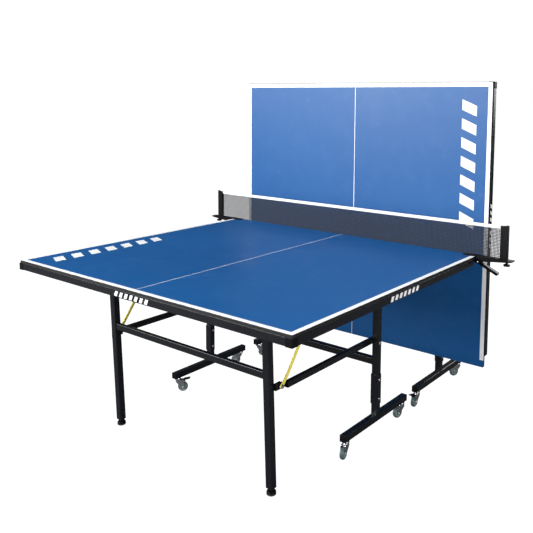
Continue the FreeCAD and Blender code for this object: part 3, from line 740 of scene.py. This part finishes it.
def weld_beads(name, rings, body):
    verts = []
    edges = []
    for ring in rings:
        first = len(verts)
        verts += [tuple(p) for p in ring]
        edges += [(first + k, first + (k + 1) % len(ring)) for k in range(len(ring))]
    mesh = bpy.data.meshes.new(name)
    mesh.from_pydata(verts, edges, [])
    beads = grown(name, WELD, mesh, Bead_Radius=1.5 * MM, Ripple_Pitch=1.5 * MM, Finish=BLACK_STEEL)
    return piece(name, beads, STEEL, body, angle=80.0)


# ---- where the far half's copies go -------------------------------------------------------------
def pivot(joint):
    return Vector(JOINTS[joint]["pos_m"])


UPRIGHT = axes(-X, -Z, -Y)
HALF_TURN = axes(-X, -Y, Z)
PIVOTS = {"top": "_fold", "legs": "_leg_fold", "links": "_link_swing", "struts": "_strut_fold"}


def half_place(half, kind):
    """Carries a shape of the near half to its place in either half."""
    if half == "near":
        return Matrix.Identity(4)
    if kind == "carriage":
        near_spot, far_spot = (sum(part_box(name + "_base_beams"), Vector()) / 2 for name in HALVES)
        return Matrix.Translation(far_spot) @ HALF_TURN @ Matrix.Translation(-near_spot)
    turn = HALF_TURN if kind == "legs" else UPRIGHT
    if kind == "struts":
        folded = math.radians(90.0 * COUPLINGS["far_strut_fold"]["ratio"])
        turn = Matrix.Rotation(folded, 4, "X") @ UPRIGHT
    near_spot, far_spot = (pivot(name + PIVOTS[kind]) for name in HALVES)
    return Matrix.Translation(far_spot) @ turn @ Matrix.Translation(-near_spot)


# ---- the folding top ----------------------------------------------------------------------------
BOARD_LOW, BOARD_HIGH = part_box("near_board")
NET_EDGE = BOARD_HIGH.y


def play_board():
    """A board with eased corners, its lines painted on the top and its edges sealed black."""
    shape = bmesh.new()
    bmesh.ops.create_cube(shape, size=1.0)
    size = BOARD_HIGH - BOARD_LOW
    bmesh.ops.scale(shape, vec=size, verts=shape.verts[:])
    bmesh.ops.translate(shape, vec=(BOARD_HIGH + BOARD_LOW) / 2, verts=shape.verts[:])
    corners = [e for e in shape.edges if abs(e.verts[0].co.z - e.verts[1].co.z) > size.z / 2]
    round_off(shape, corners, 4.0 * MM, 4)
    round_off(shape, steep_edges(shape, 60.0), 1.0 * MM, 3)
    end = BOARD_LOW.y + SIDE_LINE
    for x in (BOARD_LOW.x + SIDE_LINE, -CENTRE_LINE / 2, CENTRE_LINE / 2, BOARD_HIGH.x - SIDE_LINE):
        cut(shape, X * x, X)
    for y in (end, NET_EDGE - LINE_GAP_AT_NET):
        cut(shape, Y * y, Y)
    blue, white, edge, underside = range(4)

    def paint(face):
        centre = face.calc_center_median()
        if face.normal.z < 0.4:
            return underside if face.normal.z < -0.6 else edge
        on_side = BOARD_HIGH.x - abs(centre.x) < SIDE_LINE and NET_EDGE - centre.y > LINE_GAP_AT_NET
        on_centre = abs(centre.x) < CENTRE_LINE / 2
        return white if on_side or on_centre or centre.y < end else blue

    return paint_faces(shape, paint)


def slanted_bars(start, along, up, length, height):
    """A row of plain slanted bars of thin film that lies on a surface."""
    pitch = length / (MARK_COUNT - 0.45)
    wide = pitch * 0.55
    lean = height * 0.42
    corner = 0.6 * MM
    place = axes(along, up, along.cross(up), start)
    bars = []
    for k in range(MARK_COUNT):
        u = k * pitch
        corners = [(u, 0, corner), (u + wide, 0, corner),
                   (u + wide + lean, height, corner), (u + lean, height, corner)]
        bars.append(extruded(rounded_outline(corners, 2), -0.05 * MM, MARK_FILM, place))
    return poured(bars)


def board_marks():
    """Plain slanted bars along the left side of the top, near the end edge."""
    return slanted_bars((-0.614, NET_EDGE - 1.290, BOARD_HIGH.z), Y, -X, 0.590, 0.074)


def apron_marks():
    """The same bars, small, on the end apron and on both side aprons."""
    low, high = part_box("near_end_apron")
    side_low, side_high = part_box("near_side_aprons")
    foot = low.z + 4.5 * MM
    tall = 19.0 * MM
    return poured([slanted_bars((-0.100, low.y, foot), X, Z, 0.190, tall),
                   slanted_bars((side_high.x, NET_EDGE - 0.790, foot), Y, Z, 0.210, tall),
                   slanted_bars((side_low.x, NET_EDGE - 0.580, foot), -Y, Z, 0.210, tall)])


def apron(depth, low, high, lip, lip_top, ends, place):
    """A roll-formed apron with a shoulder: its section is u outwards from the board's edge and v up."""
    bend = 2.5 * MM
    step_in = 0.2 * MM
    outline = rounded_outline([(-depth, low, bend), (lip, low, bend), (lip, lip_top, 1.1 * MM),
                               (step_in, lip_top, 0.0), (step_in, high, 0.0), (-depth, high, bend)])
    return extruded(outline, *ends, place, 0.4 * MM)


def end_apron():
    low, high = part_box("near_end_apron")
    return apron(high.y - BOARD_LOW.y, low.z, BOARD_LOW.z, BOARD_LOW.y - low.y, high.z, (low.x, high.x),
                 axes(-Y, Z, X, Y * BOARD_LOW.y))


def side_aprons():
    low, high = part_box("near_side_aprons")
    inner = min(abs(v.co.x) for v in frame["nodes"]["near_side_aprons"].data.vertices)
    return poured(apron(BOARD_HIGH.x - inner, low.z, BOARD_LOW.z, high.x - BOARD_HIGH.x, high.z,
                        (low.y, high.y), axes(X * side, Z, Y, X * side * BOARD_HIGH.x)) for side in (1, -1))


def rail_screw_spots():
    """Where screws go up through the rails and the aprons into the board."""
    spots = []
    for node in ("near_under_rails", "near_side_aprons", "near_end_apron"):
        for low, high in solid_boxes(node):
            size = high - low
            axis = 0 if size.x > size.y else 1
            if size[axis] < 120.0 * MM:
                continue
            count = max(2, round(size[axis] / SCREW_PITCH))
            for k in range(count):
                spot = (low + high) / 2
                spot.z = low.z
                spot[axis] = low[axis] + size[axis] * (k + 0.5) / count
                spots.append((spot, -Z))
    return spots


# ---- the carriage -------------------------------------------------------------------------------
def beam_height():
    """The lower and upper face of the base beams, from the caps on their ends."""
    low, high = solid_boxes("near_end_caps")[0]
    return low.z, high.z


def base_beams():
    """Each base beam with its post."""
    whole = bmesh.new()
    source = merged_copy("near_base_beams")
    floor, top = beam_height()
    slack = 0.1 * MM
    for group in solids(source):
        points = [v.co.copy() for v in group]
        post_low, post_high = limits([p for p in points if p.z > top + slack])
        pour(whole, rounded_bar([p for p in points if floor - slack < p.z < top + slack], TUBE_RADIUS))
        pour(whole, box_bar((post_low.x, post_low.y, top - 0.5 * MM), post_high, TUBE_RADIUS))
    source.free()
    return whole


def caster_stems(half):
    """Plated stems with a collar, which stick out under the beams."""
    floor, _ = beam_height()
    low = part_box("near_base_beams")[0].z
    profile = [(0, low), (6.0 * MM, low), (8.0 * MM, low + 1.0 * MM), (8.0 * MM, low + 3.0 * MM),
               (5.0 * MM, low + 3.0 * MM), (5.0 * MM, floor), (0, floor)]
    stems = [pivot(name + "_swivel_turn") for name in CASTERS if name.startswith(half)]
    whole = poured(lathed(profile, Matrix.Translation((stem.x, stem.y, 0)), 24) for stem in stems)
    return piece(half + "_caster_stems", whole, PLATED, half + "_carriage")


def sleeves():
    """Pressed channels round the joint of column and post, with rounded bends."""
    whole = bmesh.new()
    thick = 3.0 * MM
    edge = 0.6 * MM
    bend = 3.6 * MM
    inside = 0.7 * MM
    for low, high in solid_boxes("near_sleeves"):
        corners = [(low.x, high.y, edge), (low.x, low.y, bend), (high.x, low.y, bend), (high.x, high.y, edge),
                   (high.x - thick, high.y, edge), (high.x - thick, low.y + thick, inside),
                   (low.x + thick, low.y + thick, inside), (low.x + thick, high.y, edge)]
        pour(whole, extruded(rounded_outline(corners), low.z, high.z, end_radius=PLATE_EDGE))
    return whole


def carriage_bolts():
    """Each bolt's side, inner end, outer end and middle, and whether it goes through a sleeve."""
    sleeve_top = solid_boxes("near_sleeves")[-1][1].z
    bolts = []
    for low, high in solid_boxes("near_carriage_bolts"):
        side = 1 if low.x > 0 else -1
        inner, outer = (low.x, high.x) if side > 0 else (high.x, low.x)
        middle = (low + high) / 2
        bolts.append((side, inner, outer, middle, middle.z < sleeve_top))
    return bolts


def bolt_head_spots():
    return [(Vector((outer - side * 5.1 * MM, middle.y, middle.z)), X * side)
            for side, _, outer, middle, _ in carriage_bolts()]


def nut_spots():
    return [(Vector((inner + side * (7.0 if on_sleeve else 4.4) * MM, middle.y, middle.z)), X * -side)
            for side, inner, _, middle, on_sleeve in carriage_bolts()]


def bolt_shanks():
    """The shanks of the carriage bolts, and the collars that hold the link bars off the columns."""
    whole = bmesh.new()
    link_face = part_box("near_links")[1].x + 0.3 * MM
    collar_length = COLUMN_WALL - link_face
    for side, inner, outer, middle, on_sleeve in carriage_bolts():
        reach = abs(outer - inner) - 1.0 * MM
        shank = pointing((inner, middle.y, middle.z), X * side)
        pour(whole, lathed([(0, 0), (3.4 * MM, 0), (BOLT_RADIUS, 0.8 * MM), (BOLT_RADIUS, reach), (0, reach)],
                           shank, 20))
        if not on_sleeve:
            collar = pointing((side * link_face, middle.y, middle.z), X * side)
            wide = 8.0 * MM
            pour(whole, lathed([(BOLT_RADIUS, 0), (7.6 * MM, 0), (wide, 0.5 * MM), (wide, collar_length),
                                (BOLT_RADIUS, collar_length)], collar, 24))
    return whole


def cross_rings(boxes):
    """Rings round both ends of the widest bar, which runs along X."""
    low, high = max(boxes, key=lambda box: box[1].x - box[0].x)
    middle = (low + high) / 2
    size = high - low
    return [ring_of((side * high.x, middle.y, middle.z), Y, Z, size.y, size.z) for side in (1, -1)]


def carriage_rings():
    """Where each post meets its beam and where the tie tube meets the columns."""
    _, top = beam_height()
    boxes = solid_boxes("near_columns")
    rings = []
    for side, tie_ring in zip((1, -1), cross_rings(boxes)):
        low, high = [b for b in boxes if b[1].z - b[0].z > 0.3 and b[0].x * side > 0][0]
        centre = (low + high) / 2
        rings += [ring_of((centre.x, centre.y, top), X, Y, high.x - low.x, high.y - low.y), tie_ring]
    return rings


# ---- legs and links -----------------------------------------------------------------------------
def leg_bolt_spots():
    """The bolt heads that hold each strut's hook and link bar's tongue at the legs."""
    low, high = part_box("near_links")
    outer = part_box("near_struts")[1].x + 0.2 * MM
    y = low.y + TONGUE_RADIUS
    z = (low.z + high.z) / 2
    return [(Vector((side * outer, y, z)), X * side) for side in (-1, 1)]


def levelling_foot(name):
    """A moulded foot: a rubber tread, a domed shoulder, a neck and a ridged stem."""
    low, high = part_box(name)
    middle = (low + high) / 2
    wide = (high.x - low.x) / 2 / MM
    base = Matrix.Translation((middle.x, middle.y, low.z))
    profile = [(0, 0.0), (wide - 4.0, 0.0), (wide - 1.5, 0.6), *arc((wide - 3.0, 4.0), 3.0, -30, 60, 5),
               (wide - 1.6, 7.6), (wide - 1.2, 8.4), *arc((wide - 4.6, 11.2), 4.0, -20, 80, 6),
               (wide - 6.5, 16.0), (13.4, 17.4), (13.2, 22.0), (12.6, 25.2), (10.5, 26.3), (0, 26.3)]
    thread = [(r, z + 1.6 * k) for k in range(18) for r, z in ((4.0, 26.0), (3.4, 26.8))]
    rubber_top = low.z + 8.0 * MM
    shape = lathed(in_mm(*profile), base, 48)
    paint_faces(shape, lambda f: 1 if f.calc_center_median().z < rubber_top else 0)
    pour(shape, lathed(in_mm((0, 26.0), *thread, (0, 55.0)), base, 16))
    return piece(name + "_tread", shape, ([BLACK_PLASTIC, FOOT_RUBBER], "plastic_black"), name, [name])


def link_bars():
    """A flat tube crimped down to a tongue with a rounded end at the leg."""
    whole = bmesh.new()
    height = pivot("near_link_swing").z
    for low, high in solid_boxes("near_links"):
        side = 1 if low.x > 0 else -1
        inner = low.x if side > 0 else high.x
        tube_end = low.y + 34.0 * MM
        crimp = tube_end + 14.0 * MM
        centre = low.y + TONGUE_RADIUS
        pour(whole, box_bar((low.x, tube_end, low.z), high, 2.4 * MM))
        outline = [(crimp, height - TONGUE_RADIUS)]
        outline += [(centre - TONGUE_RADIUS * math.sin(a), height - TONGUE_RADIUS * math.cos(a))
                    for a in (math.pi * k / 10 for k in range(11))]
        outline += [(crimp, height + TONGUE_RADIUS)]
        faces = sorted((inner + side * 1.5 * MM, inner + side * 4.5 * MM))
        pour(whole, extruded(outline, *faces, axes(Y, Z, X), PLATE_EDGE))
    return whole


# ---- casters ------------------------------------------------------------------------------------
def caster_place(name):
    """Stem and heading of a caster: local Z on the stem and local X towards its axle."""
    stem = pivot(name + "_swivel_turn")
    axle = pivot(name + "_wheel_roll")
    heading = Vector((axle.x - stem.x, axle.y - stem.y, 0))
    turn = Matrix.Rotation(math.atan2(heading.y, heading.x), 4, "Z")
    return Matrix.Translation((stem.x, stem.y, 0)) @ turn, heading.length, axle.z


def axle_place(place, x, z):
    """Local Z along a caster's axle or pin."""
    return place @ Matrix.Translation((x, 0, z)) @ Matrix.Rotation(math.pi / 2, 4, "X")


def caster_wheel(name):
    """A rounded tyre on a dished hub with ribs, a bearing boss and a thread guard step."""
    place, trail, radius = caster_place(name)
    spin = axle_place(place, trail, radius)
    half = 9.0
    r = radius / MM
    tread = [(r - 5.2, 0.6 - half), (r - 3.6, 0.9 - half), (r - 1.6, 2.4 - half), (r - 0.5, 4.8 - half),
             (r, 7.4 - half)]
    tread += [(u, -z) for u, z in tread[::-1]]
    rim = [(r - 6.2, half - 1.3), (r - 6.6, half - 0.8), (17.6, half - 0.6), (17.0, half - 1.2),
           (16.6, half - 3.4), (8.0, half - 3.6), (7.2, half - 0.9), (6.6, half - 0.4), (3.1, half - 0.4)]
    profile = in_mm(*((u, -z) for u, z in rim[::-1]), *tread, *rim)
    shape = lathed(profile + [profile[0]], spin, 48)
    bmesh.ops.remove_doubles(shape, verts=shape.verts[:], dist=1e-6)
    bmesh.ops.recalc_face_normals(shape, faces=shape.faces[:])
    axis = spin.to_translation()
    line = spin.to_3x3() @ Z

    def paint(face):
        arm = face.calc_center_median() - axis
        return 0 if (arm - line * arm.dot(line)).length > radius - 6.0 * MM else 1

    paint_faces(shape, paint)
    for side in (-1, 1):
        for k in range(6):
            near, far = sorted((side * (half - 3.8), side * (half - 1.4)))
            rib = box_bar(*in_mm((7.4, -0.7, near), (16.9, 0.7, far)), 0.3 * MM, 0.2 * MM)
            rib = settle(rib, spin @ Matrix.Rotation(math.tau * k / 6, 4, "Z"))
            pour(shape, paint_faces(rib, lambda f: 1))
    return piece(name + "_tyre_and_hub", shape, ([TYRE_GREY, HUB_GREY], "wheel_grey"), name + "_wheel",
                 [name + "_wheel"])


def caster_fork(name, braked):
    """A pressed fork: two cheeks under a flat crown, a ball race, an axle and its nuts."""
    place, trail, radius = caster_place(name)
    t = trail / MM
    r = radius / MM
    inner, outer = 10.0, 12.0
    race = in_mm((5.4, 57.2), (13.4, 57.2), (14.0, 58.0), (14.4, 60.4), (13.2, 61.4), (12.6, 62.2),
                 (13.0, 63.0), (14.8, 63.8), (15.0, 65.6), (14.2, 68.2), (11.6, 69.6), (5.4, 69.6), (5.4, 57.2))
    crown = box_bar(*in_mm((2.0, -outer, 57.5), (t + 4.0, outer, 60.0)), 0.9 * MM)
    whole = poured([lathed(race, place, 40), settle(crown, place)])
    nose = t + 13.0 if braked else t + 4.0
    outline = [(-9.0, 50.0, 4.0), (t - 8.0, r - 3.0, 5.0), (t, r - 8.0, 6.0), (t + 8.0, r - 2.0, 6.0)]
    if braked:
        outline += [(t + 7.0, 49.0, 3.0), (nose, 52.0, 2.0)]
    outline += [(nose, 60.0, 2.0), (-9.0, 60.0, 2.0)]
    for side in (-1, 1):
        low, high = sorted((side * inner * MM, side * outer * MM))
        cheek = extruded(rounded_outline(in_mm(*outline)), low, high, axes(X, Z, Y), 0.4 * MM)
        pour(whole, settle(cheek, place))
    axle = axle_place(place, trail, radius)
    rod = in_mm((0, -13.2), (2.5, -13.2), (3.0, -12.8), (3.0, 14.6), (2.6, 15.0), (0, 15.0))
    pour(whole, lathed(rod, axle, 20))
    for flip, tall in ((math.pi, 2.8), (0.0, 2.4)):
        seat = axle @ Matrix.Rotation(flip, 4, "X") @ Matrix.Translation((0, 0, outer * MM))
        pour(whole, settle(hex_profile(8.0 * MM, tall * MM), seat))
    return piece(name + "_fork_pressing", whole, PLATED, name + "_swivel", [name + "_fork"])


def brake_pedal(name):
    """A bent brake pedal on its pin between the cheeks."""
    place, _, _ = caster_place(name)
    pin = place.inverted() @ pivot(name + "_brake_press")
    x, z = pin.x / MM, pin.z / MM
    half = 12.0 * MM
    tip = 62.0
    plate = in_mm((x - 4.0, 61.0, 0.5), (x + 6.0, 61.0, 2.0), (tip, 66.4, 1.0), (tip, 69.1, 1.0),
                  (x - 4.0, 63.5, 0.8))
    web = in_mm((x - 3.0, z), (x + 3.0, z), (x + 4.0, 62.0), (x - 4.0, 62.0))
    barrel = in_mm((0, -9.5), (3.0, -9.5), (3.2, -9.2), (3.2, 9.2), (3.0, 9.5), (0, 9.5))
    rod = in_mm((0, -12.0), (1.5, -12.0), (1.5, 12.0), (0, 12.0))
    across = axle_place(Matrix.Identity(4), pin.x, pin.z)
    whole = poured([extruded(rounded_outline(plate, 3), -half, half, axes(X, Z, Y), PLATE_EDGE),
                    extruded(web, -4.0 * MM, 4.0 * MM, axes(X, Z, Y), 0.3 * MM),
                    lathed(barrel, across, 20), lathed(rod, across, 12)])
    return piece(name + "_pedal_lever", settle(whole, place), PLASTIC, name + "_pedal", [name + "_pedal"])


# ---- the net set --------------------------------------------------------------------------------
def net():
    low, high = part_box("net_mesh")
    size = high - low
    mesh = grown("net_threads", NET, Width=size.x - 2 * MM, Height=size.z - 2 * MM,
                 Columns=round(size.x / MESH_PITCH), Rows=round(size.z / MESH_PITCH),
                 Thread_Radius=THREAD_RADIUS, Knot_Radius=KNOT_RADIUS, Centre=(low + high) / 2,
                 Finish=NET_THREAD)
    return piece("net_threads", mesh, ([NET_THREAD], "net_mesh"), "near_top", ["net_mesh"], angle=80.0)


def net_tape():
    """Cotton tape folded over a cord along the top of the net, thin at its hem."""
    low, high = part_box("net_tape")
    y = (low.y + high.y) / 2
    cord = 1.35 * MM
    hem = 0.55 * MM
    fold = high.z - 3.4 * MM
    outline = [(y - hem, low.z), (y + hem, low.z), (y + hem, fold)]
    outline += [(y + cord * math.cos(a), high.z - cord + cord * math.sin(a)) for a in
                map(math.radians, (-40, -15, 10, 35, 60, 90, 120, 145, 170, 195, 220))]
    outline += [(y - hem, fold)]
    shape = extruded(outline, low.x, high.x, axes(Y, Z, X))
    spans = 60
    for k in range(1, spans):
        cut(shape, X * (low.x + (high.x - low.x) * k / spans), X)
    for vert in shape.verts:
        if vert.co.z < low.z + 1e-5:
            vert.co.z += 0.35 * MM * (1 + math.sin(vert.co.x * 61.0)) / 2
            vert.co.y += 0.18 * MM * math.sin(vert.co.x * 43.0)
    return piece("net_top_tape", shape, ([TAPE_WHITE], "net_tape"), "near_top", ["net_tape"], angle=60.0)


def tape_stitches():
    low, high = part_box("net_tape")
    middle = (low + high) / 2
    whole = bmesh.new()
    for side in (-1, 1):
        start = (low.x + 4 * MM, middle.y + side * 0.6 * MM, low.z + 2.6 * MM)
        mesh = grown("stitches", STITCHES, Start=start, Length=high.x - low.x - 8 * MM, Count=440,
                     Stitch_Length=2.6 * MM, Thread_Radius=0.28 * MM, Finish=STITCH_WHITE)
        whole.from_mesh(mesh)
        bpy.data.meshes.remove(mesh)
    return piece("net_tape_stitches", whole, ([STITCH_WHITE], "net_tape"), "near_top", angle=80.0)


def net_bottom_cord():
    """The cord in the net's lower selvedge."""
    low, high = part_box("net_mesh")
    radius = 1.3 * MM
    length = high.x - low.x
    shape = lathed([(0, 0), (radius, 0), (radius, length), (0, length)],
                   pointing((low.x, (low.y + high.y) / 2, low.z + radius), X), 10)
    return piece("net_bottom_cord", shape, ([NET_THREAD], "net_mesh"), "near_top", angle=60.0)


def net_posts():
    """Extruded posts: a channel that takes the end of the net, and a round bead on the outer side."""
    whole = bmesh.new()
    low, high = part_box("net_posts")
    net_low, net_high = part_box("net_mesh")
    middle_y = (low.y + high.y) / 2
    net_y = (net_low.y + net_high.y) / 2
    back, front = low.y + 0.3 * MM, high.y - 0.3 * MM
    bead = 7.0 * MM
    slot = 1.7 * MM
    edge = 1.2 * MM
    top = high.z - low.z
    rod_profile = [(0, 0), (bead - 0.6 * MM, 0), (bead, 0.6 * MM), (bead, top - 2.2 * MM),
                   (bead - 0.7 * MM, top - 0.8 * MM), (bead - 2.2 * MM, top), (0, top)]
    for side in (1, -1):
        inner = side * 871.0 * MM
        slot_end = inner + side * 17 * MM
        bead_x = side * (high.x - bead)
        corners = [(inner, back, edge), (bead_x, back, 0.0), (bead_x, front, 0.0), (inner, front, edge),
                   (inner, net_y + slot, 0.5 * MM), (slot_end, net_y + slot, 0.4 * MM),
                   (slot_end, net_y - slot, 0.4 * MM), (inner, net_y - slot, 0.5 * MM)]
        pour(whole, extruded(rounded_outline(corners, 3), low.z, high.z - 4.0 * MM, end_radius=PLATE_EDGE))
        rod = lathed(rod_profile, Matrix.Translation((bead_x, middle_y, low.z)), 28)
        pour(whole, paint_faces(rod, lambda f: 1))
    return piece("net_post_channels", whole, ([BLACK_PLASTIC, GLOSS_PLASTIC], "plastic_black"), "near_top",
                 ["net_posts"])


def clamp_rivets():
    """A bright rivet on the front of each clamp's pivot."""
    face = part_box("net_clamp_arms")[0].y + 3.6 * MM
    centres = [pivot(side + "_clamp_squeeze") for side in SIDES]
    spots = [(Vector((c.x, face, c.z)), -Y) for c in centres]
    return fasteners("clamp_rivets", DOME_RIVET, spots, "near_top")


def net_knob(node):
    """A fluted thumb screw with a domed face and a plated stem."""
    low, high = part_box(node)
    middle = (low + high) / 2
    r = (high.x - low.x) / 2 / MM
    top = (high.z - low.z) / MM
    base = Matrix.Translation((middle.x, middle.y, low.z))

    def flute(height, angle):
        return 1.0 - 0.055 * (0.5 + 0.5 * math.cos(12 * angle)) if 0.5 * MM < height < 8.6 * MM else 1.0

    grip = in_mm((0, 0.4), (6.0, 0.3), (11.0, 0.0), (r - 1.8, 0.0), (r - 0.6, 0.9), (r, 2.2), (r, 6.4),
                 (r - 0.7, 8.0), (r - 2.4, 9.0), (7.2, 9.6), (5.6, 10.6), (5.4, 19.4), (0, 19.6))
    shape = lathed(grip, base, 72, flute)
    thread = lathed(in_mm((0, 19.4), (3.9, 19.4), (3.9, top - 0.6), (3.2, top), (0, top)), base, 20)
    pour(shape, paint_faces(thread, lambda f: 1))
    return shape


# ---- build it -----------------------------------------------------------------------------------
# what both halves have: the body, the piece, the CAD node that it replaces, its shape and its finish
HALF_PIECES = (
    ("top", "play_board", "board", play_board,
     ([BOARD_BLUE, LINE_WHITE, BOARD_EDGE, UNDERSIDE], "board_blue")),
    ("top", "board_marks", None, board_marks, ([LINE_WHITE], "board_blue")),
    ("top", "apron_marks", None, apron_marks, ([LINE_WHITE], "frame_black")),
    ("top", "end_apron_rail", "end_apron", end_apron, STEEL),
    ("top", "side_apron_rails", "side_aprons", side_aprons, STEEL),
    ("top", "corner_covers", "corner_caps", lambda: softened("near_corner_caps", 1.2 * MM), PLASTIC),
    ("top", "support_rails", "under_rails",
     lambda: softened("near_under_rails", bar_length=30.0 * MM), STEEL),
    ("top", "hinge_plates", "top_brackets",
     lambda: softened("near_top_brackets", bar_length=200.0 * MM), STEEL),
    ("carriage", "base_beam_bars", "base_beams", base_beams, STEEL),
    ("carriage", "column_tubes", "columns", lambda: softened("near_columns"), STEEL),
    ("carriage", "sleeve_channels", "sleeves", sleeves, STEEL),
    ("carriage", "carriage_bolt_shanks", "carriage_bolts", bolt_shanks, PLATED),
    ("carriage", "tube_plugs", "end_caps", lambda: softened("near_end_caps", 1.4 * MM), PLASTIC),
    ("legs", "leg_tubes", "leg_frame", lambda: softened("near_leg_frame"), STEEL),
    ("links", "link_bar_tubes", "links", link_bars, STEEL),
    ("struts", "safety_struts", "struts", lambda: softened("near_struts", 0.7 * MM, 1.0),
     ([STRUT_YELLOW], "strut_yellow")),
)
HALF_FASTENERS = (("top", "rail_screws", PAN_SCREW, rail_screw_spots),
                  ("carriage", "carriage_bolt_heads", HEX_HEAD, bolt_head_spots),
                  ("carriage", "carriage_nuts", SMALL_HEX, nut_spots),
                  ("legs", "leg_bolt_heads", WIDE_HEX, leg_bolt_spots))
HALF_WELDS = (("carriage", "carriage_welds", carriage_rings),
              ("legs", "leg_welds", lambda: cross_rings(solid_boxes("near_leg_frame"))))


def build_half(half):
    for kind, title, node, shape_of, finish in HALF_PIECES:
        shape = settle(shape_of(), half_place(half, kind))
        piece(half + "_" + title, shape, finish, half + "_" + kind, [half + "_" + node] if node else ())
    for kind, title, part, spots_of in HALF_FASTENERS:
        place = half_place(half, kind)
        spots = [(place @ spot, place.to_3x3() @ facing) for spot, facing in spots_of()]
        fasteners(half + "_" + title, part, spots, half + "_" + kind)
    for kind, title, rings_of in HALF_WELDS:
        place = half_place(half, kind)
        weld_beads(half + "_" + title, [[place @ p for p in ring] for ring in rings_of()], half + "_" + kind)
    caster_stems(half)
    for side in SIDES:
        levelling_foot(half + "_" + side + "_foot")


def build_casters():
    for name in CASTERS:
        braked = name + "_pedal" in frame["bodies"]
        caster_wheel(name)
        caster_fork(name, braked)
        if braked:
            brake_pedal(name)


def build_net():
    threads = net()
    tape = net_tape()
    stitches = tape_stitches()
    cord = net_bottom_cord()
    posts = net_posts()
    arms = softened("net_clamp_arms", 0.9 * MM, 1.0)
    piece("net_clamp_bodies", arms, PLASTIC, "near_top", ["net_clamp_arms"])
    clamp_rivets()
    for side in SIDES:
        lever = side + "_clamp_lever"
        knob = side + "_net_knob"
        piece(side + "_clamp_handle", softened(lever, 0.8 * MM, 1.0), PLASTIC, lever, [lever])
        piece(side + "_thumb_screw", net_knob(knob), ([BLACK_PLASTIC, ZINC], "plastic_black"), knob, [knob])


# ---- studio -------------------------------------------------------------------------------------
# soft boxes: name, place, what it faces, width, height and watts
LAMPS = (("right_soft_box", (4.6, -1.4, 1.3), (0.0, -0.1, 0.7), 3.0, 2.2, 140.0),
         ("front_soft_box", (-2.6, -4.6, 2.6), (0.0, 0.4, 1.2), 4.2, 2.4, 500.0),
         ("top_soft_box", (0.6, -0.8, 4.6), (0.0, -0.3, 0.7), 2.6, 2.6, 90.0),
         ("back_soft_box", (0.8, 4.8, 2.4), (0.0, 0.3, 0.8), 3.0, 2.2, 150.0))


def camera_rays(tree):
    return step(tree, "ShaderNodeLightPath", {})["Is Camera Ray"]


def pale_floor():
    """A grey floor that looks white to the camera, and isn't there from below."""
    shape = bmesh.new()
    reach = 14.0
    corners = ((-reach, -reach), (reach, -reach), (reach, reach), (-reach, reach))
    shape.faces.new([shape.verts.new((x, y, 0.0)) for x, y in corners])
    floor = put_in_scene("pale_floor", mesh_of("pale_floor", shape))
    material, tree, shader = finish_material(
        "floor_paint", Roughness=0.9, Base_Color=(0.09, 0.09, 0.095, 1.0), Emission_Color=(1.0, 1.0, 1.0, 1.0))
    tree.links.new(camera_rays(tree), shader.inputs["Emission Strength"])
    under = step(tree, "ShaderNodeNewGeometry", {})["Backfacing"]
    clear = step(tree, "ShaderNodeBsdfTransparent", {})[0]
    one_sided = step(tree, "ShaderNodeMixShader", {0: under, 1: shader.outputs[0], 2: clear})[0]
    tree.links.new(one_sided, tree.nodes["Material Output"].inputs["Surface"])
    floor.data.materials.append(material)


def soft_box(name, place, aim, width, height, power):
    light = bpy.data.lights.new(name, "AREA")
    light.shape = "RECTANGLE"
    light.size = width
    light.size_y = height
    light.energy = power
    turn = (Vector(aim) - Vector(place)).to_track_quat("-Z", "Y").to_matrix().to_4x4()
    put_in_scene(name, light).matrix_world = Matrix.Translation(place) @ turn


def studio_world():
    """White behind the object. What it reflects is a soft front wall, a dark back and a dim ceiling."""
    world = bpy.data.worlds.new("studio")
    bpy.context.scene.world = world
    world.use_nodes = True
    tree = world.node_tree
    background = tree.nodes["Background"]
    direction = step(tree, "ShaderNodeTexCoord", {})["Generated"]
    parts = step(tree, "ShaderNodeSeparateXYZ", {0: direction})
    front = step(tree, "ShaderNodeMapRange", {0: parts["Y"], 1: 0.15, 2: -0.75, 3: 0.0, 4: 1.0},
                 interpolation_type="SMOOTHSTEP")[0]
    dimmed = remap(tree, parts["Z"], 0.15, 0.9, 1.0, 0.3)
    walls = mix_colour(tree, front, (0.085, 0.09, 0.10, 1.0), (0.40, 0.43, 0.48, 1.0))
    lit = mix_colour(tree, dimmed, (0.02, 0.02, 0.025, 1.0), walls)
    colour = mix_colour(tree, camera_rays(tree), lit, (1.0, 1.0, 1.0, 1.0))
    tree.links.new(colour, background.inputs["Color"])
    background.inputs["Strength"].default_value = 1.0


def camera():
    """A long-ish shifted lens a little above the table, from the front right, rolled by half a degree."""
    azimuth = math.radians(-37.14)
    elevation = math.radians(-5.65)
    roll = math.radians(0.51)
    level_reach = math.cos(elevation)
    forward = Vector((level_reach * math.sin(azimuth), level_reach * math.cos(azimuth), math.sin(elevation)))
    level = forward.cross(Z).normalized()
    raised = level.cross(forward)
    right = math.cos(roll) * level + math.sin(roll) * raised
    up = -math.sin(roll) * level + math.cos(roll) * raised
    lens = bpy.data.cameras.new("camera")
    lens.sensor_width = 36.0
    lens.lens = 45.77
    lens.shift_x = -0.0844
    lens.shift_y = -0.1876
    lens.clip_end = 60.0
    holder = put_in_scene("camera", lens)
    holder.matrix_world = axes(right, up, -forward, (2.005, -2.43225, 1.469))
    bpy.context.scene.camera = holder


camera()
for half in HALVES:
    build_half(half)
build_casters()
build_net()
for part in (HEX_HEAD, SMALL_HEX, WIDE_HEX, PAN_SCREW, DOME_RIVET):
    bpy.data.objects.remove(part)
bpy.context.scene.view_settings.view_transform = "Standard"
pale_floor()
studio_world()
for lamp in LAMPS:
    soft_box(*lamp)
